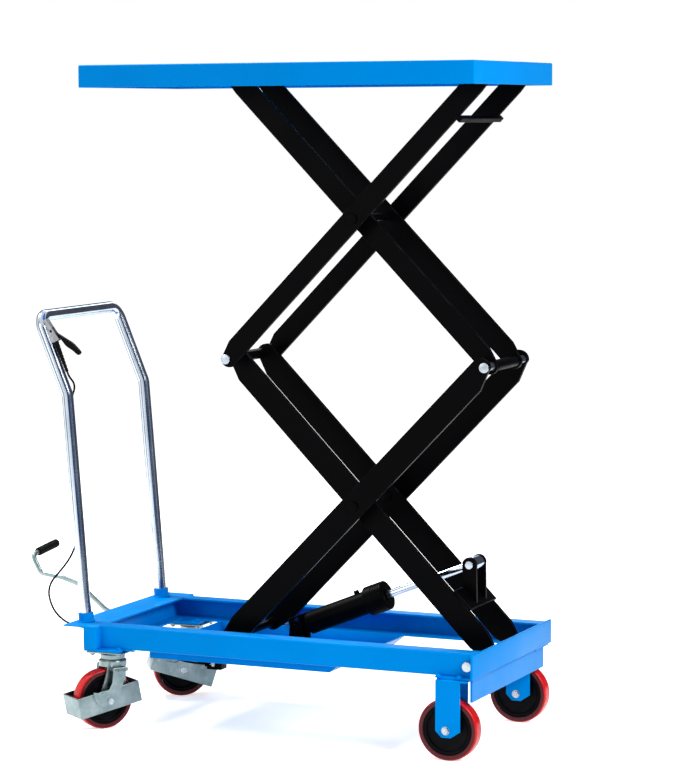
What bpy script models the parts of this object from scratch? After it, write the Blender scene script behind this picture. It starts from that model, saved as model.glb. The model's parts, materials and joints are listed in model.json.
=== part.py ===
# Hydraulic lift table with a double scissor, shown raised.
# The table's length is along X with the push handle at -X, Y runs across, Z is up.
# The arms and everything beneath them follow from the table's length, the arms' angles
# and the insets of the pivots.

import math

import bmesh
import bpy
from mathutils import Vector

# Shared clearances and sheet sizes
GAP = 0.0003
SHEET = 0.003
PLATE = 0.005
HOLE_TURN_DEGREES = 7

# Table
TABLE_LENGTH = 1.010
TABLE_WIDTH = 0.520
TABLE_DEPTH = 0.054
TABLE_EDGE_RADIUS = 0.004
TABLE_PIVOT_DROP = 0.0255
TABLE_PIVOT_INSET = 0.025
TABLE_ROLLER_INSET = 0.0437

# Scissor arms
RAISED_ANGLE = math.radians(45.7)
LOWERED_ANGLE = math.radians(5.725)
ARM_THICKNESS = 0.010
LOWER_ARM_WIDTH = 0.060
UPPER_ARM_WIDTH = 0.050
INNER_ARM_SPREAD = 0.168
OUTER_ARM_SPREAD = 0.264
LOWER_TAPER = 0.046
UPPER_TAPER = 0.037
NARROW_END_RADIUS = 0.013
SHAFT_RADIUS = 0.010
HUB_WALL = 0.0027
EAR_WALL = 0.0048
ROLLER_RADIUS = 0.021
ROLLER_WIDTH = 0.030
PIN_HEAD_RADIUS = 0.012
PIN_HEAD_THICKNESS = 0.005
STRAP_DISTANCE = 0.119
STRAP_WIDTH = 0.013
STRAP_THICKNESS = 0.012

# Base frame
BASE_WIDTH = 0.533
BASE_DEPTH = 0.0559
RAIL_SET_IN = 0.0265
RAIL_WIDTH = 0.044
RAIL_WALL = 0.004
BASE_EDGE_RADIUS = 0.004
BASE_PIVOT_INSET = 0.023
BASE_ROLLER_INSET = 0.0437
REAR_CHANNEL_WIDTH = 0.035
REAR_FLANGE_REACH = 0.055
FRONT_PLATE = 0.006
FRONT_BEAM_DEPTH = 0.052
MOUNT_PLATE_LENGTH = 0.095
MOUNT_PLATE_WIDTH = 0.097
FRONT_MOUNT_LENGTH = 0.087
FRONT_MOUNT_WIDTH = 0.089

# Tray
TRAY_DROP = 0.0235
TRAY_REAR_SETBACK = 0.145
TRAY_LENGTH = 0.510
TRAY_SLOPE = 0.035

# Wheels and casters
CASTER_HEIGHT = 0.1905
WHEEL_RADIUS = 0.0725
WHEEL_WIDTH = 0.036
TREAD_DEPTH = 0.012
AXLE_RADIUS = 0.006
BOLT_HEAD_RADIUS = 0.010
BOLT_HEAD_THICKNESS = 0.006
FORK_PLATE = 0.005
FORK_CLEARANCE = 0.005
FRONT_FORK_WIDTH = 0.060
FRONT_WHEEL_SETBACK = 0.069
FRONT_WHEEL_SET_IN = 0.0345
REAR_CASTER_SETBACK = 0.053
REAR_CASTER_SET_IN = 0.0525
CASTER_TRAIL = 0.028
SWIVEL_RADIUS = 0.027
BRAKE_LENGTH = 0.166
BRAKE_DEPTH = 0.052
BRAKE_SHEET = 0.0025
BRAKE_HALF_WIDTH = 0.0435
BRAKE_DROP_SHARE = 0.45
CROWN_TOP = 0.168
CASTER_YAW = {"right": math.radians(54), "left": math.radians(35)}
BRAKE_TILT = {"right": math.radians(11), "left": math.radians(-18)}

# Handle and hand release
HANDLE_RADIUS = 0.014
HANDLE_SPREAD = 0.400
HANDLE_SETBACK = 0.026
HANDLE_LEAN = math.radians(4.7)
HANDLE_KNEE_HEIGHT = 0.555
HANDLE_UPPER_LEAN = math.radians(22.5)
HANDLE_UPPER_LENGTH = 0.205
HANDLE_BEND_RADIUS = 0.035
COLLAR_RADIUS = 0.019
COLLAR_HEIGHT = 0.021
CLAMP_DISTANCE = 0.147
CLAMP_HALF_WIDTH = 0.0085
CLAMP_BOTTOM = -0.017
CLAMP_TOP = 0.043
CLAMP_REACH = 0.0345
LEVER_PIVOT_X = 0.022
LEVER_PIVOT_HEIGHT = 0.010
LEVER_HALF_WIDTH = 0.005
LEVER_OUTLINE = (
    (0.0126, -0.003), (0.040, -0.0175), (0.055, -0.0255), (0.065, -0.034), (0.0775, -0.047),
    (0.0765, -0.0525), (0.071, -0.055), (0.0567, -0.0447), (0.039, -0.034), (0.0235, -0.0165),
)
LEVER_ROOT_RADIUS = 0.0062
LEVER_PIN_RADIUS = 0.003
BOOT_X = 0.0215
BOOT_LENGTH = 0.077
BOOT_RADIUS = 0.0065
BOOT_BORE_DEPTH = 0.015
CABLE_RADIUS = 0.0025
CABLE_BEND_RADIUS = 0.020
CABLE_STRAIGHT = 0.012
CABLE_ABOVE_KNEE = 0.022
CABLE_BELOW_KNEE = 0.015
CABLE_BESIDE_LEG = (0.10, 0.18)
CABLE_BOW = (
    (-0.103, -0.010, 0.080), (-0.086, -0.020, 0.030), (-0.038, -0.035, -0.003),
    (-0.014, 0.020, -0.021), (0.001, 0.150, -0.052),
)
CABLE_TO_PUMP = ((-0.080, -0.015, 0.006), (-0.035, 0, 0))

# Foot pedal, push rod and pump
PEDAL_ROD_RADIUS = 0.006
PEDAL_BEND_RADIUS = 0.018
PEDAL_PIVOT_SETBACK = 0.035
PEDAL_PIVOT_DROP = 0.0294
PEDAL_SHAFT_RADIUS = 0.006
PEDAL_HUB_RADIUS = 0.012
PEDAL_HUB_LENGTH = 0.027
CRANK_LENGTH = 0.072
CRANK_REST_ANGLE = math.radians(10)
CRANK_PLATE = 0.006
CRANK_PIN_RADIUS = 0.004
PUSH_ROD_RADIUS = 0.005
PUSH_ROD_LENGTH = 0.216
PUSH_ROD_EYE_RADIUS = 0.009
GRIP_RADIUS = 0.0105
GRIP_LENGTH = 0.098
PEDAL_BENDS = (
    (-0.0085, 0.0045), (-0.050, 0.026), (-0.120, 0.082), (-0.170, 0.097), (-0.231, 0.104), (-0.255, 0.1494),
)
GRIP_TURN_X = 0.008
GRIP_RISE = 0.015
PUMP_LENGTH = 0.040
PUMP_WIDTH = 0.034
PUMP_HEIGHT = 0.056
PUMP_BARREL_LENGTH = 0.025
PUMP_BARREL_RADIUS = 0.0135
PUMP_BORE_DEPTH = 0.055
PLUNGER_RADIUS = 0.008
PLUNGER_LENGTH = 0.050
PLUNGER_REACH = 0.036
VALVE_ARM_LENGTH = 0.026
VALVE_ARM_PLATE = 0.004
VALVE_SPINDLE_RADIUS = 0.004
VALVE_SPINDLE_REACH = 0.006
CABLE_STOP_DISTANCE = 0.016
PIPE_RADIUS = 0.003
PIPE_HEIGHT = 0.132
PIPE_SPACING = 0.015

# Hydraulic cylinder
CYLINDER_ALONG_ARM = 0.196
CYLINDER_OFF_ARM = 0.086
TAIL_PIVOT_X = -0.050
TAIL_PIVOT_HEIGHT = 0.063
CYLINDER_RADIUS = 0.028
CYLINDER_HEAD_RADIUS = 0.036
CYLINDER_HEAD_START = 0.198
CYLINDER_LENGTH = 0.254
CYLINDER_START = 0.032
CYLINDER_WALL = 0.006
CYLINDER_HEAD_WALL = 0.022
ROD_RADIUS = 0.010
PISTON_LENGTH = 0.012
PISTON_SETBACK = 0.035
ROD_EYE_RADIUS = 0.017
ROD_EYE_WIDTH = 0.051
ROD_PIN_RADIUS = 0.0085
TAIL_LUG_WIDTH = 0.030
TAIL_PIN_RADIUS = 0.007
TAIL_PIN_TRAVEL = (-0.0057, 0.0026, -0.0085, 0.0155)
TAIL_BRACKET_HEIGHT = 0.015
TAIL_BRACKET_LENGTH = 0.070
TAIL_BRACKET_WIDTH = 0.060
EAR_THICKNESS = 0.008
ARM_BRACKET_NEAR = 0.110
ARM_BRACKET_FAR = 0.170

# Places that follow from the sizes above
FRONT_PIVOT_X = TABLE_LENGTH / 2 - TABLE_PIVOT_INSET
ARM_REACH_LOWERED = TABLE_LENGTH - TABLE_PIVOT_INSET - TABLE_ROLLER_INSET
ARM_SPAN = ARM_REACH_LOWERED / math.cos(LOWERED_ANGLE)
ARM_REACH = ARM_SPAN * math.cos(RAISED_ANGLE)
ARM_RISE = ARM_SPAN * math.sin(RAISED_ANGLE)
BASE_FRONT_X = FRONT_PIVOT_X + BASE_PIVOT_INSET
BASE_REAR_X = FRONT_PIVOT_X - ARM_REACH_LOWERED - BASE_ROLLER_INSET
BASE_BOTTOM_Z = CASTER_HEIGHT + PLATE
BASE_TOP_Z = BASE_BOTTOM_Z + BASE_DEPTH
PIVOT_Z = BASE_BOTTOM_Z + RAIL_WALL + ROLLER_RADIUS + GAP
TABLE_PIVOT_Z = PIVOT_Z + 2 * ARM_RISE
TABLE_TOP_Z = TABLE_PIVOT_Z + TABLE_PIVOT_DROP
TRAY_BOTTOM_Z = BASE_BOTTOM_Z - TRAY_DROP
TRAY_FLOOR_Z = TRAY_BOTTOM_Z + SHEET
TRAY_REAR_X = BASE_REAR_X + TRAY_REAR_SETBACK
INNER_ARM_FACE = INNER_ARM_SPREAD / 2
OUTER_ARM_FACE = OUTER_ARM_SPREAD / 2
RAIL_FACE = BASE_WIDTH / 2 - RAIL_SET_IN
RAIL_INNER_FACE = RAIL_FACE - RAIL_WIDTH
HUB_RADIUS = SHAFT_RADIUS + GAP + HUB_WALL
TABLE_ROLLER_RADIUS = TABLE_PIVOT_DROP - 2 * SHEET - 2 * GAP
HANDLE_X = BASE_REAR_X - HANDLE_SETBACK
PEDAL_PIVOT = Vector((BASE_REAR_X - PEDAL_PIVOT_SETBACK, 0, BASE_TOP_Z - PEDAL_PIVOT_DROP))
PUSH_ROD_Y = CRANK_PLATE / 2 + GAP + PUSH_ROD_RADIUS
PUSH_ROD_Z = PEDAL_PIVOT.z - CRANK_LENGTH * math.cos(CRANK_REST_ANGLE)
CRANK_PIN_X = PEDAL_PIVOT.x - CRANK_LENGTH * math.sin(CRANK_REST_ANGLE)
PLUNGER_X = CRANK_PIN_X + PUSH_ROD_LENGTH + GAP
PUMP_REAR_X = PLUNGER_X + PLUNGER_REACH
PUMP_TOP_Z = TRAY_BOTTOM_Z - GAP
TAIL_PIVOT_Z = TRAY_FLOOR_Z + TAIL_PIVOT_HEIGHT
SIDES = {"right": -1, "left": 1}


def clear_scene():
    """Remove whatever the file opens with."""
    for existing in list(bpy.data.objects):
        bpy.data.objects.remove(existing, do_unlink=True)


def new_collection(name):
    collection = bpy.data.collections.new(name)
    bpy.context.scene.collection.children.link(collection)
    return collection


def new_material(name, colour, roughness, metallic):
    material = bpy.data.materials.new(name)
    material.use_nodes = True
    shader = material.node_tree.nodes["Principled BSDF"]
    shader.inputs["Base Color"].default_value = (*colour, 1)
    shader.inputs["Roughness"].default_value = roughness
    shader.inputs["Metallic"].default_value = metallic
    material.diffuse_color = (*colour, 1)
    return material


clear_scene()
PARTS = new_collection("hydraulic_lift_table")
TOOLS = new_collection("boolean_tools")
BLUE_PAINT = new_material("blue_paint", (0.0, 0.20, 0.68), 0.35, 0.0)
BLACK_PAINT = new_material("black_paint", (0.012, 0.012, 0.014), 0.42, 0.0)
CHROME = new_material("chrome", (0.78, 0.80, 0.83), 0.10, 1.0)
ZINC = new_material("zinc", (0.58, 0.63, 0.65), 0.34, 1.0)
STEEL = new_material("bright_steel", (0.66, 0.67, 0.69), 0.28, 1.0)
RED_TREAD = new_material("red_tread", (0.62, 0.012, 0.012), 0.30, 0.0)
BLACK_PLASTIC = new_material("black_plastic", (0.015, 0.015, 0.016), 0.45, 0.0)
BLACK_RUBBER = new_material("black_rubber", (0.02, 0.02, 0.02), 0.75, 0.0)
GREY_METAL = new_material("grey_metal", (0.33, 0.34, 0.36), 0.45, 0.6)


# Making and placing objects

def place(thing, name, material, parent, location=(0, 0, 0), rotation=(0, 0, 0)):
    """Name a finished sub-part, give it its material and put it in the assembly."""
    thing.name = name
    thing.data.name = name
    thing.data.materials.clear()
    thing.data.materials.append(material)
    thing.parent = parent
    thing.location = location
    thing.rotation_euler = rotation
    PARTS.objects.link(thing)
    return thing


def joint_axis(name, parent, location, rotation=(0, 0, 0)):
    """An empty on a joint's axis, which carries the pieces that turn or slide there."""
    empty = bpy.data.objects.new(name, None)
    empty.empty_display_size = 0.03
    empty.parent = parent
    empty.location = location
    empty.rotation_euler = rotation
    PARTS.objects.link(empty)
    return empty


def mesh_object(edit_mesh, smooth=False):
    mesh = bpy.data.meshes.new("shape")
    edit_mesh.to_mesh(mesh)
    edit_mesh.free()
    if smooth:
        mesh.shade_smooth()
    return bpy.data.objects.new("shape", mesh)


def block(low, high, edge_radius=0.0):
    """A box between two corners, with its edges rounded where a radius is given."""
    low = Vector(low)
    high = Vector(high)
    edit_mesh = bmesh.new()
    bmesh.ops.create_cube(edit_mesh, size=1)
    bmesh.ops.scale(edit_mesh, vec=high - low, verts=edit_mesh.verts)
    bmesh.ops.translate(edit_mesh, vec=(low + high) / 2, verts=edit_mesh.verts)
    made = mesh_object(edit_mesh)
    if edge_radius:
        bevel = made.modifiers.new("rounded edges", "BEVEL")
        bevel.width = edge_radius
        bevel.segments = 1 if edge_radius < SHEET else 2
    return made


def rod(start, end, radius, sides=16):
    """A plain round bar between two points."""
    start = Vector(start)
    along = Vector(end) - start
    edit_mesh = bmesh.new()
    bmesh.ops.create_cone(
        edit_mesh, cap_ends=True, segments=sides, radius1=radius, radius2=radius, depth=along.length
    )
    turn = Vector((0, 0, 1)).rotation_difference(along).to_matrix()
    bmesh.ops.rotate(edit_mesh, cent=(0, 0, 0), matrix=turn, verts=edit_mesh.verts)
    bmesh.ops.translate(edit_mesh, vec=start + along / 2, verts=edit_mesh.verts)
    return mesh_object(edit_mesh, smooth=True)


def crossbar(x, z, half_length, radius, sides=16):
    """A round bar across the object, even about its middle."""
    return rod((x, -half_length, z), (x, half_length, z), radius, sides)


def turned(profile, steps=24, closed=False):
    """A lathe shape about Z from (radius, height) points that run down its outer side."""
    mesh = bpy.data.meshes.new("profile")
    points = [(radius, 0, height) for radius, height in profile]
    edges = [(index, index + 1) for index in range(len(points) - 1)]
    if closed:
        edges.append((len(points) - 1, 0))
    mesh.from_pydata(points, edges, [])
    made = bpy.data.objects.new("turned", mesh)
    screw = made.modifiers.new("lathe", "SCREW")
    screw.axis = "Z"
    screw.steps = steps
    screw.render_steps = steps
    screw.use_merge_vertices = True
    screw.merge_threshold = 0.00001
    screw.use_smooth_shade = True
    return made


def curve_mesh(curve):
    """Turn a curve into a mesh object with its doubled points merged."""
    source = bpy.data.objects.new("curve", curve)
    TOOLS.objects.link(source)
    bpy.context.view_layer.update()
    evaluated = source.evaluated_get(bpy.context.evaluated_depsgraph_get())
    mesh = bpy.data.meshes.new_from_object(evaluated)
    bpy.data.objects.remove(source, do_unlink=True)
    bpy.data.curves.remove(curve)
    edit_mesh = bmesh.new()
    edit_mesh.from_mesh(mesh)
    bmesh.ops.remove_doubles(edit_mesh, verts=edit_mesh.verts, dist=0.000001)
    bmesh.ops.recalc_face_normals(edit_mesh, faces=edit_mesh.faces)
    bpy.data.meshes.remove(mesh)
    return edit_mesh


def tube(points, radius, resolution=2):
    """A round bar that follows a path of points."""
    curve = bpy.data.curves.new("path", "CURVE")
    curve.dimensions = "3D"
    curve.bevel_depth = radius
    curve.bevel_resolution = resolution
    curve.use_fill_caps = True
    spline = curve.splines.new("POLY")
    spline.points.add(len(points) - 1)
    for point, place_on_path in zip(spline.points, points):
        point.co = (*place_on_path, 1)
    return mesh_object(curve_mesh(curve), smooth=True)


def flat_plate(outline, y_low, y_high, holes=()):
    """A plate in the XZ plane between two faces, from (x, z) points, with round holes."""
    curve = bpy.data.curves.new("outline", "CURVE")
    curve.dimensions = "2D"
    curve.fill_mode = "BOTH"
    curve.extrude = (y_high - y_low) / 2
    rings = [outline]
    for index, (centre_x, centre_z, radius) in enumerate(holes):
        start = index * HOLE_TURN_DEGREES
        rings.append(arc(centre_x, centre_z, radius, start, start - 360)[:-1])
    for ring in rings:
        spline = curve.splines.new("POLY")
        spline.points.add(len(ring) - 1)
        for point, (x, z) in zip(spline.points, ring):
            point.co = (x, z, 0, 1)
        spline.use_cyclic_u = True
    edit_mesh = curve_mesh(curve)
    for vertex in edit_mesh.verts:
        x, z, across = vertex.co
        vertex.co = (x, (y_low + y_high) / 2 - across, z)
    bmesh.ops.recalc_face_normals(edit_mesh, faces=edit_mesh.faces)
    return mesh_object(edit_mesh)


def arc(centre_x, centre_z, radius, start_degrees, end_degrees, step_degrees=22.5):
    """Points of a circular arc in the XZ plane."""
    count = max(2, round(abs(end_degrees - start_degrees) / step_degrees))
    points = []
    for index in range(count + 1):
        angle = math.radians(start_degrees + (end_degrees - start_degrees) * index / count)
        points.append((centre_x + radius * math.cos(angle), centre_z + radius * math.sin(angle)))
    return points


def use_tool(body, tool, operation):
    """Join or cut a body with another shape, which is kept hidden."""
    TOOLS.objects.link(tool)
    tool.parent = body
    tool.hide_render = True
    tool.display_type = "WIRE"
    boolean = body.modifiers.new(operation.lower(), "BOOLEAN")
    boolean.operation = operation
    boolean.solver = "EXACT"
    boolean.object = tool


def weld(body, pieces):
    for piece in pieces:
        use_tool(body, piece, "UNION")
    return body


def cut(body, pieces):
    for piece in pieces:
        use_tool(body, piece, "DIFFERENCE")
    return body


def bend_path(points, radius, step_degrees=22.5):
    """Round the inner corners of a path of straight runs."""
    path = [Vector(points[0])]
    for before, corner, after in zip(points, points[1:], points[2:]):
        corner = Vector(corner)
        way_in = (corner - Vector(before)).normalized()
        way_out = (Vector(after) - corner).normalized()
        turn = way_in.angle(way_out)
        set_back = radius * math.tan(turn / 2)
        centre = corner + (way_out - way_in).normalized() * radius / math.cos(turn / 2)
        axis = way_in.cross(way_out).normalized()
        spoke = corner - way_in * set_back - centre
        count = max(2, round(math.degrees(turn) / step_degrees))
        for index in range(count + 1):
            path.append(centre + rotated(spoke, axis, turn * index / count))
    path.append(Vector(points[-1]))
    return path


def rotated(vector, axis, angle):
    """Turn a vector about an axis."""
    return (
        vector * math.cos(angle)
        + axis.cross(vector) * math.sin(angle)
        + axis * axis.dot(vector) * (1 - math.cos(angle))
    )


def headed_pin(half_length, radius, head_radius, head_thickness, steps=16):
    """A pin with a head at each end, turned about Z."""
    head = half_length + head_thickness
    return turned(
        [
            (0, head),
            (head_radius, head),
            (head_radius, half_length),
            (radius, half_length),
            (radius, -half_length),
            (head_radius, -half_length),
            (head_radius, -head),
            (0, -head),
        ],
        steps,
    )


ACROSS = (math.radians(90), 0, 0)


# Table

def table_deck(parent):
    """The pressed table top with its skirt, and the two ears that hold the front pivot."""
    half = Vector((TABLE_LENGTH / 2, TABLE_WIDTH / 2, 0))
    top = TABLE_TOP_Z - TABLE_PIVOT_Z
    bottom = top - TABLE_DEPTH
    middle_x = -FRONT_PIVOT_X
    deck = block(
        (middle_x - half.x, -half.y, bottom), (middle_x + half.x, half.y, top), TABLE_EDGE_RADIUS
    )
    cut(deck, [
        block(
            (middle_x - half.x + SHEET, SHEET - half.y, bottom - SHEET),
            (middle_x + half.x - SHEET, half.y - SHEET, top - SHEET),
        )
    ])
    ear_low = OUTER_ARM_FACE + GAP
    ear_high = ear_low + PLATE
    ear_radius = SHAFT_RADIUS + EAR_WALL
    for side in SIDES.values():
        outline = arc(0, 0, ear_radius, 180, 360) + [
            (ear_radius, top - SHEET / 2), (-ear_radius, top - SHEET / 2)
        ]
        faces = sorted((side * ear_low, side * ear_high))
        weld(deck, [flat_plate(outline, *faces)])
    cut(deck, [crossbar(0, 0, ear_high + PLATE, SHAFT_RADIUS + GAP)])
    return place(deck, "table_deck", BLUE_PAINT, parent)


def table_channel(parent, side_name):
    """A roller channel welded under the table, open towards the middle."""
    side = SIDES[side_name]
    top = TABLE_TOP_Z - TABLE_PIVOT_Z - SHEET - GAP
    track = TABLE_ROLLER_RADIUS + GAP
    rear = GAP + SHEET + TABLE_PIVOT_INSET - TABLE_LENGTH
    front = 2 * ROLLER_RADIUS - ARM_REACH
    inner = INNER_ARM_FACE + 2 * GAP
    outer = inner + ROLLER_WIDTH + GAP + SHEET
    y_low, y_high = sorted((side * inner, side * outer))
    channel = block((rear, y_low, -track - SHEET), (front, y_high, top))
    y_low, y_high = sorted((side * (inner - SHEET), side * (outer - SHEET)))
    cut(channel, [block((rear - SHEET, y_low, -track), (front + SHEET, y_high, track))])
    return place(channel, f"table_channel_{side_name}", BLUE_PAINT, parent)


# Scissor arms
# Each frame of arms lies along X from its lower pivot, with the arms' faces across Y.

def arm_end(x, direction, upper_radius, lower_radius):
    """Points round an arm's end, from its upper side to its lower side, drawn in where narrow."""
    points = []
    steps = 8
    for step in range(steps + 1):
        share = step / steps
        if upper_radius < lower_radius:
            radius = upper_radius + (lower_radius - upper_radius) * share ** 3
        else:
            radius = lower_radius + (upper_radius - lower_radius) * (1 - share) ** 3
        angle = math.radians(90 - 180 * share)
        points.append((x + direction * radius * math.cos(angle), radius * math.sin(angle)))
    return points


def arm_outline(width, taper, start_radii, end_radii):
    """An arm's outline. Each end has a radius for its upper and for its lower side."""
    half = width / 2
    outline = []
    for x, inward, radii in ((0, 1, start_radii), (ARM_SPAN, -1, end_radii)):
        end = arm_end(x, -inward, *radii)
        upper, lower = radii
        if upper < half:
            end.insert(0, (x + inward * taper, half))
        if lower < half:
            end.append((x + inward * taper, -half))
        outline += end if inward == 1 else reversed(end)
    return outline


def arm_pair(width, taper, face, start_radii, end_radii, holes):
    """Two equal arms, returned as the first arm and the one to weld to it."""
    outline = arm_outline(width, taper, start_radii, end_radii)
    return [
        flat_plate(outline, *sorted((side * (face - ARM_THICKNESS), side * face)), holes)
        for side in SIDES.values()
    ]


def bored_hub(body, x, half_length):
    """A tube across the arms with a bore for its shaft."""
    weld(body, [crossbar(x, 0, half_length, HUB_RADIUS)])
    cut(body, [crossbar(x, 0, half_length + ARM_THICKNESS * 2, SHAFT_RADIUS + GAP)])


def lower_inner_arms(parent, location, angle):
    centre_hole = (ARM_SPAN / 2, 0, SHAFT_RADIUS + GAP)
    foot_radius = HUB_RADIUS + SHEET
    first, second = arm_pair(
        LOWER_ARM_WIDTH, LOWER_TAPER, INNER_ARM_FACE, (foot_radius, foot_radius),
        (HUB_RADIUS + SHEET / 2, LOWER_ARM_WIDTH / 2), [centre_hole],
    )
    weld(first, [second])
    bored_hub(first, 0, INNER_ARM_FACE - ARM_THICKNESS / 2)
    bored_hub(first, ARM_SPAN, INNER_ARM_FACE - ARM_THICKNESS / 2)
    return place(first, "lower_inner_arms", BLACK_PAINT, parent, location, (0, -angle, 0))


def lower_outer_arms(parent, location, angle):
    """The outer lower arms, with the axle of their base rollers welded through both."""
    shaft_hole = SHAFT_RADIUS + GAP
    first, second = arm_pair(
        LOWER_ARM_WIDTH, LOWER_TAPER, OUTER_ARM_FACE, (LOWER_ARM_WIDTH / 3, LOWER_ARM_WIDTH / 3),
        (LOWER_ARM_WIDTH / 2, NARROW_END_RADIUS),
        [(ARM_SPAN / 2, 0, shaft_hole), (ARM_SPAN, 0, shaft_hole)],
    )
    axle = crossbar(0, 0, RAIL_FACE - RAIL_WALL - 2 * GAP, SHAFT_RADIUS)
    weld(first, [second, axle])
    return place(first, "lower_outer_arms", BLACK_PAINT, parent, location, (0, -angle, 0))


def upper_outer_arms(parent, location, angle):
    """The outer upper arms, tied by a bar beneath them near the table."""
    shaft_hole = SHAFT_RADIUS + GAP
    end_radius = UPPER_ARM_WIDTH * 0.43
    first, second = arm_pair(
        UPPER_ARM_WIDTH, UPPER_TAPER, OUTER_ARM_FACE, (NARROW_END_RADIUS, UPPER_ARM_WIDTH / 2),
        (end_radius, end_radius),
        [(0, 0, shaft_hole), (ARM_SPAN / 2, 0, shaft_hole), (ARM_SPAN, 0, shaft_hole)],
    )
    strap_x = ARM_SPAN - STRAP_DISTANCE
    strap_top = GAP - UPPER_ARM_WIDTH / 2
    strap_half = OUTER_ARM_FACE + SHEET
    strap = block(
        (strap_x - STRAP_WIDTH / 2, -strap_half, strap_top - STRAP_THICKNESS),
        (strap_x + STRAP_WIDTH / 2, strap_half, strap_top),
    )
    weld(first, [strap, second])
    return place(first, "upper_outer_arms", BLACK_PAINT, parent, location, (0, -angle, 0))


def upper_inner_arms(parent, location, angle):
    """The inner upper arms, with a hub at their foot and the table rollers' axle at their head."""
    end_radius = UPPER_ARM_WIDTH * 0.43
    first, second = arm_pair(
        UPPER_ARM_WIDTH, UPPER_TAPER, INNER_ARM_FACE, (UPPER_ARM_WIDTH / 2, HUB_RADIUS + SHEET / 2),
        (end_radius, end_radius), [(ARM_SPAN / 2, 0, SHAFT_RADIUS + GAP)],
    )
    axle = crossbar(ARM_SPAN, 0, INNER_ARM_FACE + ROLLER_WIDTH, SHAFT_RADIUS)
    weld(first, [second, axle])
    bored_hub(first, 0, INNER_ARM_FACE - ARM_THICKNESS / 2)
    return place(first, "upper_inner_arms", BLACK_PAINT, parent, location, (0, -angle, 0))


def roller(parent, name, radius, centre_y):
    """A steel roller with a running gap on its axle."""
    half = ROLLER_WIDTH / 2
    chamfer = SHEET / 2
    bore = SHAFT_RADIUS + GAP
    made = turned(
        [
            (bore, half),
            (radius - chamfer, half),
            (radius, half - chamfer),
            (radius, chamfer - half),
            (radius - chamfer, -half),
            (bore, -half),
        ],
        16,
        closed=True,
    )
    return place(made, name, STEEL, parent, (0, centre_y, 0), ACROSS)


def pivot_shaft(parent, name, half_length, location=(0, 0, 0), material=STEEL):
    made = headed_pin(half_length, SHAFT_RADIUS, PIN_HEAD_RADIUS, PIN_HEAD_THICKNESS)
    return place(made, name, material, parent, location, ACROSS)


def centre_pin(parent, side_name):
    """A short pin through one inner and one outer lower arm, clear of the cylinder."""
    inner = INNER_ARM_FACE - ARM_THICKNESS - GAP
    outer = OUTER_ARM_FACE + GAP
    made = headed_pin((outer - inner) / 2, SHAFT_RADIUS, PIN_HEAD_RADIUS, PIN_HEAD_THICKNESS)
    middle = (0, SIDES[side_name] * (inner + outer) / 2, 0)
    return place(made, f"lower_centre_pin_{side_name}", BLACK_PAINT, parent, middle, ACROSS)


# Base frame and tray

def mirrored_block(x_low, x_high, y_low, y_high, z_low, z_high, edge_radius=0.0):
    """A box on each side of the middle."""
    return [
        block((x_low, y_low, z_low), (x_high, y_high, z_high), edge_radius),
        block((x_low, -y_high, z_low), (x_high, -y_low, z_high), edge_radius),
    ]


def base_frame(parent):
    """Two channel rails, a rear channel with its flange, a front plate and the caster plates."""
    frame = block(
        (BASE_REAR_X, -RAIL_FACE, BASE_BOTTOM_Z),
        (BASE_FRONT_X - GAP, RAIL_FACE, BASE_TOP_Z),
        BASE_EDGE_RADIUS,
    )
    inner_front = BASE_FRONT_X - FRONT_PLATE
    cut(frame, [
        block(
            (BASE_REAR_X + REAR_CHANNEL_WIDTH, -RAIL_INNER_FACE, BASE_BOTTOM_Z - PLATE),
            (inner_front, RAIL_INNER_FACE, BASE_TOP_Z + PLATE),
        ),
        block(
            (BASE_REAR_X + RAIL_WALL, RAIL_WALL - RAIL_FACE, BASE_BOTTOM_Z + RAIL_WALL),
            (inner_front, RAIL_FACE - RAIL_WALL, BASE_TOP_Z - RAIL_WALL),
        ),
    ])
    half_width = BASE_WIDTH / 2
    front_plate = block(
        (inner_front, -half_width, BASE_BOTTOM_Z - SHEET / 2),
        (BASE_FRONT_X, half_width, BASE_TOP_Z + GAP),
        SHEET / 2,
    )
    flange = block(
        (BASE_REAR_X - REAR_FLANGE_REACH, -half_width, BASE_TOP_Z - RAIL_WALL + GAP),
        (BASE_REAR_X + RAIL_WALL, half_width, BASE_TOP_Z - GAP),
        SHEET / 3,
    )
    front_beam = block(
        (inner_front - 2 * PLATE, -RAIL_FACE, CASTER_HEIGHT - FRONT_BEAM_DEPTH),
        (inner_front - PLATE, RAIL_FACE, BASE_BOTTOM_Z + GAP),
    )
    end_caps = mirrored_block(
        BASE_REAR_X - GAP, BASE_REAR_X + REAR_CHANNEL_WIDTH, RAIL_FACE - RAIL_WALL / 2, half_width,
        BASE_BOTTOM_Z - GAP, BASE_TOP_Z + GAP, BASE_EDGE_RADIUS,
    )
    mount_inner = RAIL_FACE - MOUNT_PLATE_WIDTH + RAIL_WIDTH / 2
    mount_outer = mount_inner + MOUNT_PLATE_WIDTH
    rear_mounts = mirrored_block(
        BASE_REAR_X, BASE_REAR_X + MOUNT_PLATE_LENGTH, mount_inner, mount_outer,
        CASTER_HEIGHT, BASE_BOTTOM_Z + GAP,
    )
    front_mounts = mirrored_block(
        inner_front - FRONT_MOUNT_LENGTH, inner_front + SHEET, mount_inner,
        mount_inner + FRONT_MOUNT_WIDTH, CASTER_HEIGHT, BASE_BOTTOM_Z + GAP,
    )
    weld(frame, [front_plate, flange, front_beam, *end_caps, *rear_mounts, *front_mounts])
    weld(frame, [pedal_ear(side) for side in SIDES.values()])
    weld(frame, [handle_collar(side) for side in SIDES.values()])
    cut(frame, [handle_bore(side) for side in SIDES.values()])
    cut(frame, [
        crossbar(FRONT_PIVOT_X, PIVOT_Z, half_width, SHAFT_RADIUS + GAP),
        crossbar(PEDAL_PIVOT.x, PEDAL_PIVOT.z, PEDAL_HUB_LENGTH, PEDAL_SHAFT_RADIUS + GAP),
    ])
    return place(frame, "base_frame", BLUE_PAINT, parent)


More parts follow.
